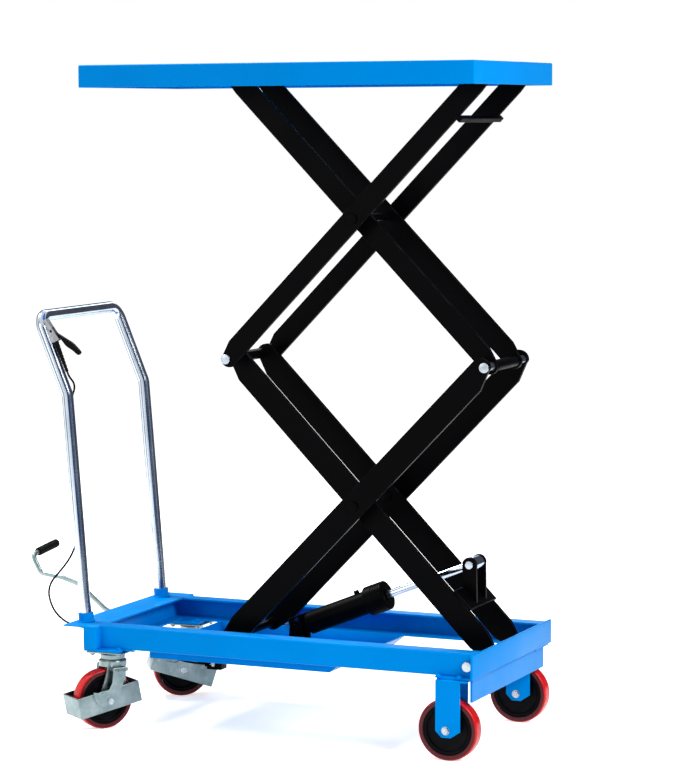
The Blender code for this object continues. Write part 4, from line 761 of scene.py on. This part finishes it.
def hex_bolt_tree():
    """A chamfered hexagon head on a washer, with a little thread past it, on every point."""
    tree, sizes = empty_tree("hex_bolts", Across=0.008, Head=0.006, Washer=0.0105, Thread=0.004, Turn=(0, 0, 0))
    wide, head = sizes["Across"], sizes["Head"]
    thin = reckon(tree, "MULTIPLY", head, 0.25)
    chamfer = reckon(tree, "MULTIPLY", wide, 0.84)
    shank = reckon(tree, "MULTIPLY", wide, 0.48)
    half_head = reckon(tree, "MULTIPLY", head, 0.5)
    sunk = reckon(tree, "MULTIPLY", thin, -0.2)
    joined = add_node(tree, "GeometryNodeJoinGeometry")
    for kind, height, shape in (
        ("Cylinder", None, {"Vertices": 32, "Radius": sizes["Washer"], "Depth": thin}),
        ("Cylinder", half_head, {"Vertices": 6, "Radius": wide, "Depth": head}),
        ("Cone", reckon(tree, "ADD", head, sunk),
         {"Vertices": 6, "Radius_Bottom": wide, "Radius_Top": chamfer, "Depth": thin}),
        ("Cylinder", reckon(tree, "ADD", head, thin), {"Vertices": 20, "Radius": shank, "Depth": sizes["Thread"]}),
    ):
        mesh = add_node(tree, f"GeometryNodeMesh{kind}", **shape).outputs["Mesh"]
        if height is not None:
            up = add_node(tree, "ShaderNodeCombineXYZ", Z=height).outputs[0]
            mesh = add_node(tree, "GeometryNodeTransform", Geometry=mesh, Translation=up).outputs["Geometry"]
        tree.links.new(mesh, joined.inputs["Geometry"])
    return on_every_point(tree, sizes, joined.outputs["Geometry"])


def weld_bead_tree():
    """A rippled bead of weld that follows a path."""
    tree, sizes = empty_tree("weld_bead", Radius=0.003, Ripple=0.22, Pitch=0.0032, Seed=3)
    even = add_node(
        tree, "GeometryNodeResampleCurve", {"mode": "LENGTH"}, Curve=sizes["Geometry"], Length=0.0011
    )
    along = add_node(tree, "GeometryNodeSplineParameter").outputs["Length"]
    angle = reckon(tree, "MULTIPLY", reckon(tree, "DIVIDE", along, sizes["Pitch"]), math.tau)
    chance = add_node(tree, "FunctionNodeRandomValue", {"data_type": "FLOAT"}, Seed=sizes["Seed"])
    least, most = [socket for socket in chance.inputs if socket.type == "VALUE" and socket.enabled][:2]
    least.default_value, most.default_value = 0.85, 1.1
    chosen = next(socket for socket in chance.outputs if socket.enabled)
    swell = reckon(tree, "MULTIPLY_ADD", reckon(tree, "SINE", angle), sizes["Ripple"], chosen)
    sized = add_node(tree, "GeometryNodeSetCurveRadius", Curve=even.outputs["Curve"], Radius=swell)
    return swept(tree, sizes, sized, "Radius", Fill_Caps=True)


def ring_section(tree, resolution, radius):
    return add_node(
        tree, "GeometryNodeCurvePrimitiveCircle", {"mode": "RADIUS"}, Resolution=resolution, Radius=radius
    )


def swept(tree, sizes, line, thickness, end=close_tree, **settings):
    """End a tree with a smooth round bar along a line."""
    section = ring_section(tree, 8, sizes[thickness]).outputs["Curve"]
    bar = add_node(
        tree, "GeometryNodeCurveToMesh", Curve=line.outputs["Curve"], Profile_Curve=section, **settings
    )
    smooth = add_node(tree, "GeometryNodeSetShadeSmooth", Geometry=bar.outputs["Mesh"])
    return end(tree, sizes, smooth.outputs["Geometry"])


def raised_ring_tree():
    """Raised rings, one on every point of a line."""
    tree, sizes = empty_tree("raised_rings", Ring=0.01, Thickness=0.0009, Turn=(0, 0, 0))
    return swept(tree, sizes, ring_section(tree, 40, sizes["Ring"]), "Thickness", on_every_point)


HEX_BOLTS = hex_bolt_tree()
WELD_BEAD = weld_bead_tree()
RAISED_RINGS = raised_ring_tree()


def grown(tree, data, name, slot, body, **sizes):
    """Run a tree on points or paths and keep the result as a plain mesh on its body."""
    source = in_scene(name, data)
    modifier = source.modifiers.new(tree.name, "NODES")
    modifier.node_group = tree
    sizes["Material"] = FINISHES[slot]
    for item in tree.interface.items_tree:
        if item.in_out == "INPUT" and item.name in sizes:
            modifier[item.identifier] = sizes[item.name]
    mesh = evaluated_mesh(source)
    mesh.name = name
    set_on_body(name, mesh, slot, body)


def points_mesh(points):
    mesh = bpy.data.meshes.new("points")
    mesh.from_pydata([tuple(point) for point in points], [], [])
    return mesh


def hex_bolts(name, points, slot, body, direction, sizes):
    grown(HEX_BOLTS, points_mesh(points), name, slot, body, Turn=facing(direction), **sizes)


def weld_beads(name, paths, slot, body, radius, cyclic=False):
    grown(WELD_BEAD, line_curve("paths", paths, cyclic), name, slot, body, Radius=radius)


# Sizes of the scissor, from the middle of the table

ARM_ANGLE = math.radians(45.7)
ARM_SPAN = 0.9413 / math.cos(math.radians(5.725))
ARM_THICKNESS = 0.010
INNER_FACE = 0.084
OUTER_FACE = 0.132
SHAFT_RADIUS = 0.010
BORE_RADIUS = SHAFT_RADIUS + GAP
HUB_RADIUS = 0.013
EAR_THICKNESS = 0.005
LIFT = world_point(0.480, 0, 0.2208)
REAR_FOOT = LIFT - Vector((ARM_SPAN * math.cos(ARM_ANGLE), 0, 0))
JOINT_HEIGHT = Vector((0, 0, ARM_SPAN * math.sin(ARM_ANGLE)))
WELD = 0.0022
FRAME_WELD = 0.0020


# Table

def pan(low, high, wall, corner, edge):
    """A pressed pan, open below, with rounded corners and rounded upper edges."""
    edit_mesh = bmesh.new()
    edge_layer(edit_mesh)

    def ring(inset, height):
        radius = max(corner - inset, 0.0006)
        x_low, x_high = low.x + inset + radius, high.x - inset - radius
        y_low, y_high = low.y + inset + radius, high.y - inset - radius
        centres = ((x_high, y_high), (x_low, y_high), (x_low, y_low), (x_high, y_low))
        return [
            edit_mesh.verts.new((*place, height)) for quarter, centre in enumerate(centres)
            for place in arc(*centre, radius, 90 * quarter, 90 * quarter + 90, 15)
        ]

    lip = wall / 3
    outer = [ring(wall - lip, low.z), ring(lip, low.z), ring(0, low.z + lip), ring(0, high.z - edge)]
    for degrees in range(15, 91, 15):
        inward, up = polar(edge, degrees)
        outer.append(ring(edge - inward, high.z - edge + up))
    outer.append(ring(edge + 0.003, high.z))
    roof = high.z - wall
    inner = [
        ring(wall, low.z + lip), ring(wall, roof - edge), ring(wall + edge / 2, roof - edge / 4),
        ring(wall + edge, roof),
    ]
    rings = inner[::-1] + outer
    for first, second in zip(rings, rings[1:]):
        join_rings(edit_mesh, first, second)
    for end in (outer[-1], inner[-1]):
        edit_mesh.faces.new(end)
    bmesh.ops.recalc_face_normals(edit_mesh, faces=edit_mesh.faces)
    return edit_mesh


def table_deck():
    """The pressed top with the ears of its pivot, and the welds under it."""
    low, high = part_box("table_deck")
    pivot = LIFT + 2 * JOINT_HEIGHT
    roof = high.z - pivot.z - SHEET / 2
    ear_radius = SHAFT_RADIUS + 0.0048
    ear_faces = (OUTER_FACE + GAP, OUTER_FACE + GAP + EAR_THICKNESS)

    def ear(side):
        outline = arc(0, 0, ear_radius, 180, 360) + [(ear_radius, roof), (-ear_radius, roof)]
        return moved(plate(outline, *(side * face for face in ear_faces), [(0, 0, BORE_RADIUS)]), pivot)

    pressed = pan(low, high, SHEET, 0.004, 0.004)
    finished(merged([pressed, *on_both_sides(ear)]), "table_top", "blue_paint", "table", ["table_deck"])
    height = high.z - SHEET - 0.0005
    starts = [
        (pivot.x - ear_radius, pivot.y + side * face, 2 * ear_radius)
        for side in SIDES.values() for face in ear_faces
    ]
    for side_name, side in SIDES.items():
        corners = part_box(f"table_channel_{side_name}")
        outer_face = corners[side > 0].y
        starts += [(corners[0].x + along, outer_face, 0.035) for along in (0.03, 0.16, 0.29)]
    beads = [[(x, y, height), (x + length, y, height)] for x, y, length in starts]
    weld_beads("table_welds", beads, "blue_paint", "table", WELD)


# Scissor arms

def arm_end(x, direction, upper_radius, lower_radius):
    """Points round an arm's end, drawn in where its upper or lower side is narrow."""
    steps = 30
    points = []
    for step in range(steps + 1):
        share = step / steps
        if upper_radius < lower_radius:
            radius = upper_radius + (lower_radius - upper_radius) * share ** 3
        else:
            radius = lower_radius + (upper_radius - lower_radius) * (1 - share) ** 3
        along, up = polar(radius, 90 - 180 * share)
        points.append((x + direction * along, up))
    return points


def arm_outline(width, taper, start_radii, end_radii):
    half = width / 2
    outline = []
    for x, inward, radii in ((0, 1, start_radii), (ARM_SPAN, -1, end_radii)):
        end = arm_end(x, -inward, *radii)
        upper, lower = radii
        if upper < half:
            end.insert(0, (x + inward * taper, half))
        if lower < half:
            end.append((x + inward * taper, -half))
        outline += end if inward == 1 else reversed(end)
    return outline


def arms(name, width, taper, face, radii, holes, foot, rising, body, tubes=(), axles=(), more=()):
    """Two arms with the tubes and axles between them, turned to their angle, and their welds."""
    turn = Matrix.Rotation(-(math.pi - ARM_ANGLE if rising else ARM_ANGLE), 4, "Y")
    outline = arm_outline(width, taper, *radii)
    bored = [(x, 0, BORE_RADIUS) for x in holes]
    parts = on_both_sides(
        lambda side: plate(outline, side * (face - ARM_THICKNESS), side * face, bored, 0.0009)
    )
    parts += more
    half = face - ARM_THICKNESS / 2
    parts += [
        across(rounded_bar(HUB_RADIUS, 2 * half, 0.0006, bore=BORE_RADIUS), half, (x, 0, 0)) for x in tubes
    ]
    parts += [across(rounded_bar(SHAFT_RADIUS, 2 * half, 0.001), half, (x, 0, 0)) for x, half in axles]
    finished(moved(merged(parts), foot, turn), f"{name}_pair", "black_paint", body, [name])
    beads = [
        circle(foot, turn, (x, side * (face - ARM_THICKNESS - 0.0004), 0), 1, radius + 0.0008, 28)
        for x, radius in [(x, HUB_RADIUS) for x in tubes] + [(x, SHAFT_RADIUS) for x, half in axles]
        for side in SIDES.values()
    ]
    if beads:
        weld_beads(f"{name}_welds", beads, "black_paint", body, WELD, cyclic=True)


def scissor_arms():
    narrow = 0.013
    foot = HUB_RADIUS + SHEET
    hub_end = HUB_RADIUS + SHEET / 2
    arms(
        "lower_inner_arms", 0.060, 0.046, INNER_FACE, ((foot, foot), (hub_end, 0.030)),
        (0, ARM_SPAN / 2, ARM_SPAN), LIFT, True, "lower_inner", tubes=(0, ARM_SPAN),
    )
    arms(
        "lower_outer_arms", 0.060, 0.046, OUTER_FACE, ((0.020, 0.020), (0.030, narrow)),
        (ARM_SPAN / 2, ARM_SPAN), REAR_FOOT, False, "lower_outer", axles=((0, 0.2354),),
    )
    strap_x = ARM_SPAN - 0.119
    strap_top = GAP - 0.025
    strap = slab(
        (strap_x - 0.0065, -OUTER_FACE - SHEET, strap_top - 0.012),
        (strap_x + 0.0065, OUTER_FACE + SHEET, strap_top), 0.0012,
    )
    arms(
        "upper_outer_arms", 0.050, 0.037, OUTER_FACE, ((narrow, 0.025), (0.0215, 0.0215)),
        (0, ARM_SPAN / 2, ARM_SPAN), REAR_FOOT + JOINT_HEIGHT, False, "upper_outer", more=(strap,),
    )
    arms(
        "upper_inner_arms", 0.050, 0.037, INNER_FACE, ((0.025, hub_end), (0.0215, 0.0215)),
        (0, ARM_SPAN / 2), LIFT + JOINT_HEIGHT, True, "upper_inner",
        tubes=(0,), axles=((ARM_SPAN, INNER_FACE + 0.030),),
    )


# Pins, shafts and rollers

PIN_HEAD = 0.005
PIN_HEAD_RADIUS = 0.012
PIN_DOME = 0.0015


def pin(node, half, radius=SHAFT_RADIUS, head_radius=PIN_HEAD_RADIUS, head=PIN_HEAD, slot="bright_steel"):
    """A pin in place of a node's plain one, with domed heads that have a groove round them."""
    groove = head_radius - 0.0012
    side = [
        (0, half + head), *rim(head_radius, half + head, min(PIN_DOME, head * 0.5)),
        (head_radius, half + head * 0.4), (groove, half + head * 0.4), (groove, half + head * 0.2),
        (head_radius, half + head * 0.2), (head_radius, half), (radius, half),
    ]
    in_place_of(node, across(lathe(both_ways(side), 40), 0, middle_of(node)), "turned", slot)


def pins():
    shaft_half = OUTER_FACE + GAP
    pin("rear_joint_shaft", shaft_half)
    pin("front_joint_shaft", shaft_half)
    pin("base_pivot_shaft", 0.2403)
    pin("table_pivot_shaft", shaft_half + GAP + EAR_THICKNESS)
    pin("upper_centre_shaft", shaft_half, slot="black_paint")
    for side_name in SIDES:
        node = f"lower_centre_pin_{side_name}"
        low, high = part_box(node)
        pin(node, (high.y - low.y) / 2 - PIN_HEAD, slot="black_paint")
    pin("cylinder_rod_pin", 0.0255 + 3 * GAP + 0.008, 0.0085, 0.0098, SHEET)
    pin("cylinder_tail_pin", 0.015 + 2 * GAP + 0.008, 0.007, 0.010, SHEET, "black_paint")
    pin("pedal_shaft", 0.0135 + 2 * GAP + 0.005, 0.006, 0.009, SHEET)


def rollers():
    """Turned steel rollers with relieved faces between the bush and the rim."""
    for node in ("base_roller_right", "base_roller_left", "table_roller_right", "table_roller_left"):
        low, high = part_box(node)
        radius, half = (high.z - low.z) / 2, (high.y - low.y) / 2
        bush, lip, relieved = 0.0135, radius - 0.004, half - 0.001
        side = [(BORE_RADIUS, half), (bush, half), (bush, relieved), (lip, relieved), (lip, half)]
        side += rim(radius, half, 0.0012)
        made = across(lathe(both_ways(side), 56), 0, middle_of(node))
        in_place_of(node, made, "turned", "bright_steel")


# Wheels and casters

WHEEL_RADIUS = 0.0725
WHEEL_HALF = 0.018
TREAD_DEPTH = 0.012
YAW = {"right": math.radians(54), "left": math.radians(35)}
AXLE_BOLT = {"Across": 0.0088, "Head": 0.0038, "Washer": 0.0098, "Thread": 0.0014}
CASTER_BOLT = {"Across": 0.0062, "Head": 0.0042, "Washer": 0.0080, "Thread": 0.0022}


def wheel(core_node, tyre_node, yaw):
    """A cast tread on a moulded centre with a stepped rim, a dished web and a hub."""
    turn = Matrix.Rotation(yaw, 4, "Z") @ ACROSS
    middle = middle_of(tyre_node)
    inner = WHEEL_RADIUS - TREAD_DEPTH
    side = [(inner, WHEEL_HALF - 0.0006), (inner + 0.0006, WHEEL_HALF), (inner + 0.003, WHEEL_HALF)]
    tread = lathe(both_ways(side + rim(WHEEL_RADIUS, WHEEL_HALF, 0.006, 1, 8)), 96)
    # Marks the side faces, which the tread's finish paints darker as shade.
    painted_shade_sides = tread.verts.layers.float.new("side")
    for vertex in tread.verts:
        vertex[painted_shade_sides] = 1.0 if abs(vertex.co.z) > WHEEL_HALF - 0.0009 else 0.0
    in_place_of(tyre_node, moved(tread, middle, turn), "cast", "red_tread")
    web = 0.012
    face = WHEEL_HALF - 0.0014
    hub = [(0.0063, WHEEL_HALF + 0.0047), (0.0165, WHEEL_HALF + 0.0047), (0.018, WHEEL_HALF + 0.0032)]
    dish = [(0.0185, web + 0.0015), (0.020, web), (0.036, web - 0.0012)]
    steps = [
        (0.0125, web), (0.0105, web + 0.0012), (0.0085, face - 0.0006), (0.0075, face), (0.0045, face),
        (0.0040, face - 0.0008), (0.0034, face), (0.0008, face), (GAP, face - 0.0006),
    ]
    core = lathe(both_ways(hub + dish + [(inner - inset, height) for inset, height in steps]), 80)
    in_place_of(core_node, moved(core, middle, turn), "moulded", "black_plastic")


def along_axle(yaw):
    return Matrix.Rotation(yaw, 3, "Z") @ Vector((0, 1, 0))


def axle(node, yaw, half):
    """A hexagon bolt through the wheel with a lock nut at its far side."""
    middle = middle_of(node)
    along = along_axle(yaw)
    shank = between(rounded_bar(0.006, 2 * half, 0.0005, 24), middle - along * half, middle + along * half)
    in_place_of(node, shank, "shank", "bright_steel")
    for name, way in (("head", -1), ("nut", 1)):
        end = middle + along * way * (half + 0.0005)
        hex_bolts(f"{node}_{name}", [end], "bright_steel", body_of(node), along * way, AXLE_BOLT)


def wheels():
    for side_name in SIDES:
        for place, yaw, half in (("front", 0, WHEEL_HALF + 0.010), ("rear", YAW[side_name], 0.0435 + GAP)):
            wheel(f"{place}_wheel_core_{side_name}", f"{place}_tyre_{side_name}", yaw)
            axle(f"{place}_axle_bolt_{side_name}", yaw, half)


def rounded_solids():
    """Pieces that keep the shape of their solid, with rounded edges."""
    for name, radius in {
        "base_frame": 0.0012, "base_tray": 0.0010, "table_channel": 0.0010, "arm_bracket": 0.0010,
        "cylinder_bracket": 0.0010, "front_fork": 0.0010, "swivel_plate": 0.0008, "swivel_fork": 0.0010,
        "brake_frame": 0.0007, "lever_clamp": 0.0006, "pump_body": 0.0010, "release_valve_arm": 0.0005,
        "push_rod": 0.0006,
    }.items():
        nodes = [name] if name in frame["nodes"] else [f"{name}_{side_name}" for side_name in SIDES]
        for node in nodes:
            refined(node, radius, holed=name == "brake_frame")


# Handle, hand lever and sleeve

def handle():
    foot = leg_foot(-1) + LEG_DIRECTION * 2 * GAP
    knee = foot + LEG_DIRECTION * KNEE_HEIGHT
    right = [foot, knee, knee + UPPER_DIRECTION * 0.205]
    left = [Vector((point.x, 2 * MIDDLE.y - point.y, point.z)) for point in reversed(right)]
    path = rounded_path(right + left, 0.035)
    finished(bar_along(path, TUBE_RADIUS, 10), "handle_bar", "chrome", "base", ["handle_tube"])


def smoothed(points):
    """A smooth line through points that starts and ends at the first and last."""
    steps = 5
    line = []
    padded = [points[0]] + points + [points[-1]]
    for before, start, end, after in zip(padded, padded[1:], padded[2:], padded[3:]):
        for step in range(steps):
            t = step / steps
            line.append(tuple(
                0.5 * (2 * b + (c - a) * t + (2 * a - 5 * b + 4 * c - d) * t * t + (3 * b - a - 3 * c + d) * t ** 3)
                for a, b, c, d in zip(before, start, end, after)
            ))
    line.append(points[-1])
    return line


def release_lever():
    """A curved lever, round at its hinge, with the hinge's pin."""
    corners = [
        (0.0235, -0.0165), (0.039, -0.034), (0.0567, -0.0447), (0.071, -0.055), (0.0765, -0.0525),
        (0.0775, -0.047), (0.065, -0.034), (0.055, -0.0255), (0.040, -0.0175), (0.0126, -0.003),
    ]
    outline = arc(0, 0, 0.0062, 60, 270, 15)[:-1] + smoothed(corners)
    lever = plate(outline, -0.005, 0.005, (), 0.0012)
    hinge_half = 0.0082
    hinge = across(rounded_bar(0.003, 2 * hinge_half, 0.0004, 24), hinge_half)
    whole = moved(merged([lever, hinge]), beside_clamp(0.022, 0.010))
    finished(whole, "hand_lever", "black_plastic", "release_lever", ["release_lever"])


def cable_sleeve():
    """A tapered moulded sleeve with soft ribs."""
    profile = [(0, SLEEVE_LENGTH)] + rim(0.0065, SLEEVE_LENGTH, 0.0008)
    ribs = 9
    for index in range(1, ribs):
        height = SLEEVE_LENGTH * (1 - index / ribs)
        radius = 0.0063 - 0.0024 * index / ribs
        groove = radius - 0.0007
        profile += [
            (radius, height + 0.0028), (groove, height + 0.0016), (groove, height + 0.0004),
            (radius, height - 0.0008),
        ]
    bore = CABLE_RADIUS + GAP
    profile += [(0.0040, 0.0008), (0.0034, 0), (bore, 0), (bore, 0.015), (0, 0.015)]
    made = moved(lathe(profile, 32), beside_clamp(SLEEVE_AHEAD, SLEEVE_END), pointing(UPPER_DIRECTION))
    finished(made, "cable_sleeve", "black_plastic", "base", ["cable_boot"])


# Foot pedal and pump

PEDAL_HEIGHT = 0.2220
PEDAL_PIVOT = world_point(-0.5400, 0, PEDAL_HEIGHT)
CRANK_LEAN = math.radians(10)
CRANK_LENGTH = 0.072
GRIP_LENGTH = 0.086
GRIP_BORE = 0.080


def pedal():
    """The bent rod with its hub, its crank and pin below, and the ribbed grip."""
    rise = LEG_FOOT_HEIGHT + 0.120 - PEDAL_HEIGHT
    path = [Vector(point) for point in (
        (-0.0085, 0, 0.0045), (-0.050, 0, 0.026), (-0.120, 0, 0.082), (-0.170, 0, 0.097),
        (-0.231, 0, 0.104), (-0.255, 0, rise), (-0.247, 0.104, rise + 0.015),
    )]
    rod = bar_along(rounded_path(path, 0.018), 0.006, 6)
    hub = across(rounded_bar(0.012, 0.027, 0.0008, bore=0.0063), 0.0135)
    tip_x, tip_z = -CRANK_LENGTH * math.sin(CRANK_LEAN), -CRANK_LENGTH * math.cos(CRANK_LEAN)
    outline = [(-0.007, 0)] + arc(tip_x, tip_z, 0.007, 170, 370) + [(0.007, 0)]
    crank = plate(outline, -0.003, 0.003, (), 0.0007)
    crank_pin = between(
        rounded_bar(0.004, 0.0178, 0.0006, 24), (tip_x, -0.0015, tip_z), (tip_x, 0.0163, tip_z)
    )
    whole = moved(merged([rod, hub, crank, crank_pin]), PEDAL_PIVOT)
    finished(whole, "foot_pedal", "zinc", "pedal", ["pedal_lever"])
    along = (path[-1] - path[-2]).normalized()
    start = PEDAL_PIVOT + path[-1] - along * GRIP_BORE
    profile = [(0, GRIP_LENGTH)] + rim(0.0105, GRIP_LENGTH, 0.0025, 1, 6)
    profile += [(0.0105, 0.002), (0.0095, 0), (0.0063, 0), (0.0063, GRIP_BORE), (0, GRIP_BORE)]
    grip = moved(lathe(profile), start, pointing(along))
    finished(grip, "pedal_sleeve", "black_rubber", "pedal", ["pedal_grip"])
    rings = [start + along * (0.010 + 0.0062 * index) for index in range(11)]
    grown(
        RAISED_RINGS, points_mesh(rings), "pedal_sleeve_ribs", "black_rubber", "pedal",
        Ring=0.0100, Thickness=0.0008, Turn=facing(along),
    )


# Hydraulic cylinder

ROD_ALONG = 0.196
ROD_ABOVE = 0.086
TAIL_PIVOT = world_point(-0.050, 0, 0.238)
ROD_PIVOT = LIFT + Vector((
    ROD_ABOVE * math.sin(ARM_ANGLE) - ROD_ALONG * math.cos(ARM_ANGLE), 0,
    ROD_ALONG * math.sin(ARM_ANGLE) + ROD_ABOVE * math.cos(ARM_ANGLE),
))
BARREL_RADIUS = 0.028
HEAD_RADIUS = 0.036
HEAD_GROOVE = 0.0348
HEAD_END = 0.2505
PISTON_STOP = 0.232
PISTON = 0.012


def barrel_profile():
    """The barrel from its wiper down over the ringed head to its foot, and up its inside."""
    profile = [(0.0103, 0.254), (0.0145, 0.254), (0.0150, 0.2535), (0.0150, HEAD_END)]
    profile += rim(HEAD_RADIUS, HEAD_END, 0.003)
    for start in (0.246, 0.239, 0.232, 0.225):
        profile += [
            (HEAD_RADIUS, start), (HEAD_GROOVE, start - 0.001), (HEAD_GROOVE, start - 0.003),
            (HEAD_RADIUS, start - 0.004),
        ]
    profile += [(HEAD_RADIUS, 0.200), (0.0345, 0.198), (0.029, 0.198), (BARREL_RADIUS, 0.197)]
    profile += [(BARREL_RADIUS, 0.036), (0.0265, 0.032), (0, 0.032), (0, 0.0383), (0.022, 0.0383)]
    return profile + [(0.022, PISTON_STOP), (0.0103, PISTON_STOP)]


def cylinder():
    """The barrel with its slotted lug and oil fitting, and the chromed rod with its piston and eye."""
    axis = ROD_PIVOT - TAIL_PIVOT
    slope = Matrix.Rotation(-math.atan2(axis.z, axis.x), 4, "Y")
    along_x = pointing((1, 0, 0))
    slot_walls = [
        slab((x_low, -half, z_low), (x_high, half, z_high), 0.0015) for x_low, x_high, half, z_low, z_high in (
            (-0.018, -0.0133, 0.0150, -0.0211, 0.0281), (0.0102, 0.035, 0.0150, -0.0211, 0.0281),
            (-0.0176, 0.0346, 0.0146, -0.0207, -0.0163), (-0.0176, 0.0346, 0.0146, 0.0233, 0.0277),
        )
    ]
    barrel = moved(lathe(barrel_profile(), 64), turn=along_x)
    fitting = moved(rounded_bar(0.0065, 0.012, 0.001, 24), (0.175, 0, 0.024))
    whole = moved(merged([barrel, fitting, *slot_walls]), TAIL_PIVOT, slope)
    finished(whole, "cylinder_tube", "black_paint", "cylinder_barrel", ["cylinder_barrel"])
    length = axis.length - PISTON_STOP + 0.035 + PISTON
    rod = moved(rounded_bar(0.010, length - 0.010, 0.0008), (-length, 0, 0), along_x)
    piston = moved(rounded_bar(0.0217, PISTON, 0.0008), (-length, 0, 0), along_x)
    eye = across(rounded_bar(0.017, 0.051, 0.0015, bore=0.0088), 0.0255)
    whole = moved(merged([rod, piston, eye]), ROD_PIVOT, slope)
    finished(whole, "piston_rod", "chrome", "cylinder_rod", ["cylinder_rod"])
    seams = [
        circle(TAIL_PIVOT, slope, (x, 0, 0), 0, radius, 40) for x, radius in ((0.0325, 0.0262), (0.1972, 0.0288))
    ]
    weld_beads("cylinder_welds", seams, "black_paint", "cylinder_barrel", WELD, cyclic=True)


def small_rods():
    """The pump's plunger, and the inner wire with the nipple that pulls the valve's arm."""
    low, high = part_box("pump_plunger")
    middle = middle_of("pump_plunger")
    made = between(
        rounded_bar(0.008, high.x - low.x, 0.001, 40), (low.x, middle.y, middle.z), (high.x, middle.y, middle.z)
    )
    finished(made, "plunger_turned", "bright_steel", "pump_plunger", ["pump_plunger"])
    tip = arm_tip()
    wire = bar_along([tip + Vector((x, 0, 0)) for x in (-0.0092, -0.004, 0.004)], 0.0008, 2)
    nipple = across(rounded_bar(0.0022, 0.0050, 0.0004, 20), 0.0025, tip)
    finished(merged([wire, nipple]), "inner_wire", "bright_steel", "valve_arm")


# Welds and bolts of the base

COLLAR_WELD_RADIUS = 0.0196
BOLT_SPREAD = 0.036
BOLT_TOP = 0.1956
BOLT_UNDER = 0.1850


def base_details():
    """Welds round the handle's collars and along the frame, and the bolts of the caster plates."""
    upright = pointing(LEG_DIRECTION)
    beads = [
        circle(leg_foot(side) + Vector((0, 0, 0.0006)), upright, (0, 0, 0), 2, COLLAR_WELD_RADIUS, 36)
        for side in SIDES.values()
    ]
    weld_beads("collar_welds", beads, "blue_paint", "base", FRAME_WELD, cyclic=True)
    corners = []
    for side in SIDES.values():
        corners += [
            [world_point(x, side * y, z) for x, y, z in ends] for ends in (
                ((-0.4793, 0.2402, 0.1950), (-0.3843, 0.2402, 0.1950)),
                ((0.4130, 0.2402, 0.1950), (0.4970, 0.2402, 0.1950)),
                ((0.4966, 0.2404, 0.2000), (0.4966, 0.2404, 0.2480)),
            )
        ]
    weld_beads("frame_welds", corners, "blue_paint", "base", FRAME_WELD)
    above, below = [], []
    for side_name, side in SIDES.items():
        centre = middle_of(f"swivel_plate_{side_name}")
        spots = [
            (centre.x + x * BOLT_SPREAD, centre.y + y * BOLT_SPREAD) for x in (-1, 1) for y in (-1, 1)
        ]
        below += [(*spot, BOLT_UNDER) for spot in spots]
        fork = middle_of(f"front_fork_{side_name}")
        spots += [(fork.x - 0.008 + x, fork.y + side * 0.021) for x in (-0.026, 0.026)]
        above += [(*spot, BOLT_TOP) for spot in spots]
    hex_bolts("mount_bolts", above, "blue_paint", "base", (0, 0, 1), CASTER_BOLT)
    hex_bolts("caster_bolts", below, "zinc", "base", (0, 0, -1), CASTER_BOLT)


# Details of the rear casters

CHEEK_FACES = (0.0441, 0.0466)
CHEEK_OUTLINE = [
    (-0.046, 0.026), (-0.044, 0.010), (-0.034, -0.006), (-0.020, -0.014), (0.000, -0.017), (0.014, -0.013),
    (0.022, -0.002), (0.028, 0.020), (0.036, 0.050), (0.044, 0.080), (0.008, 0.080), (0.004, 0.045),
    (-0.004, 0.030), (-0.020, 0.020),
]
LEG_FACE = 0.0290
RACE_PROFILE = [
    (0.0281, 0.1684), (0.0295, 0.1695), (0.0300, 0.1715), (0.0300, 0.1790), (0.0290, 0.1808), (0.0270, 0.1820),
    (0.0270, 0.1684),
]
CROWN_PROFILE = [
    (0.0308, 0.1500), (0.0330, 0.1506), (0.0338, 0.1520), (0.0338, 0.1640), (0.0325, 0.1664), (0.0300, 0.1672),
    (0.0290, 0.1676), (0.0290, 0.1500),
]


def fork_cheeks(side_name):
    """Curved outer cheeks of a swivel fork, which pass outside the brake frame down to the axle."""
    parts = []
    inner, outer = CHEEK_FACES
    for way in (-1, 1):
        parts.append(plate(CHEEK_OUTLINE, way * inner, way * outer, [(0, 0, 0.0066)]))
        near, far = sorted((way * LEG_FACE, way * outer))
        parts.append(slab((0.010, near, 0.070), (0.047, far, 0.0785), 0.0008))
    turn = Matrix.Rotation(YAW[side_name], 4, "Z")
    whole = moved(merged(parts), middle_of(f"rear_axle_bolt_{side_name}"), turn)
    finished(whole, f"fork_cheeks_{side_name}", "zinc", f"swivel_fork_{side_name}")


def caster_details():
    """Ball race covers, crown rings, washers and cheeks of the rear casters."""
    for side_name in SIDES:
        centre = middle_of(f"swivel_plate_{side_name}")
        fork = f"swivel_fork_{side_name}"
        for name, profile, body in (("race_cover", RACE_PROFILE, "base"), ("crown_ring", CROWN_PROFILE, fork)):
            made = moved(lathe(profile, 64), (centre.x, centre.y, 0))
            finished(made, f"{name}_{side_name}", "zinc", body)
        boss = middle_of(f"rear_axle_bolt_{side_name}")
        along = along_axle(YAW[side_name])
        parts = []
        for way in (-1, 1):
            start = boss + along * way * 0.0280
            parts.append(between(rounded_bar(0.0135, 0.0020, 0.0008, 40), start, start + along * way))
        finished(merged(parts), f"fork_washers_{side_name}", "zinc", fork)
        fork_cheeks(side_name)


table_deck()
scissor_arms()
pins()
rollers()
wheels()
rounded_solids()
handle()
release_lever()
cable_sleeve()
pedal()
cylinder()
small_rods()
base_details()
caster_details()


for node, cad in frame["nodes"].items():
    cad.data.materials[0] = FINISHES[slot_of(node)]
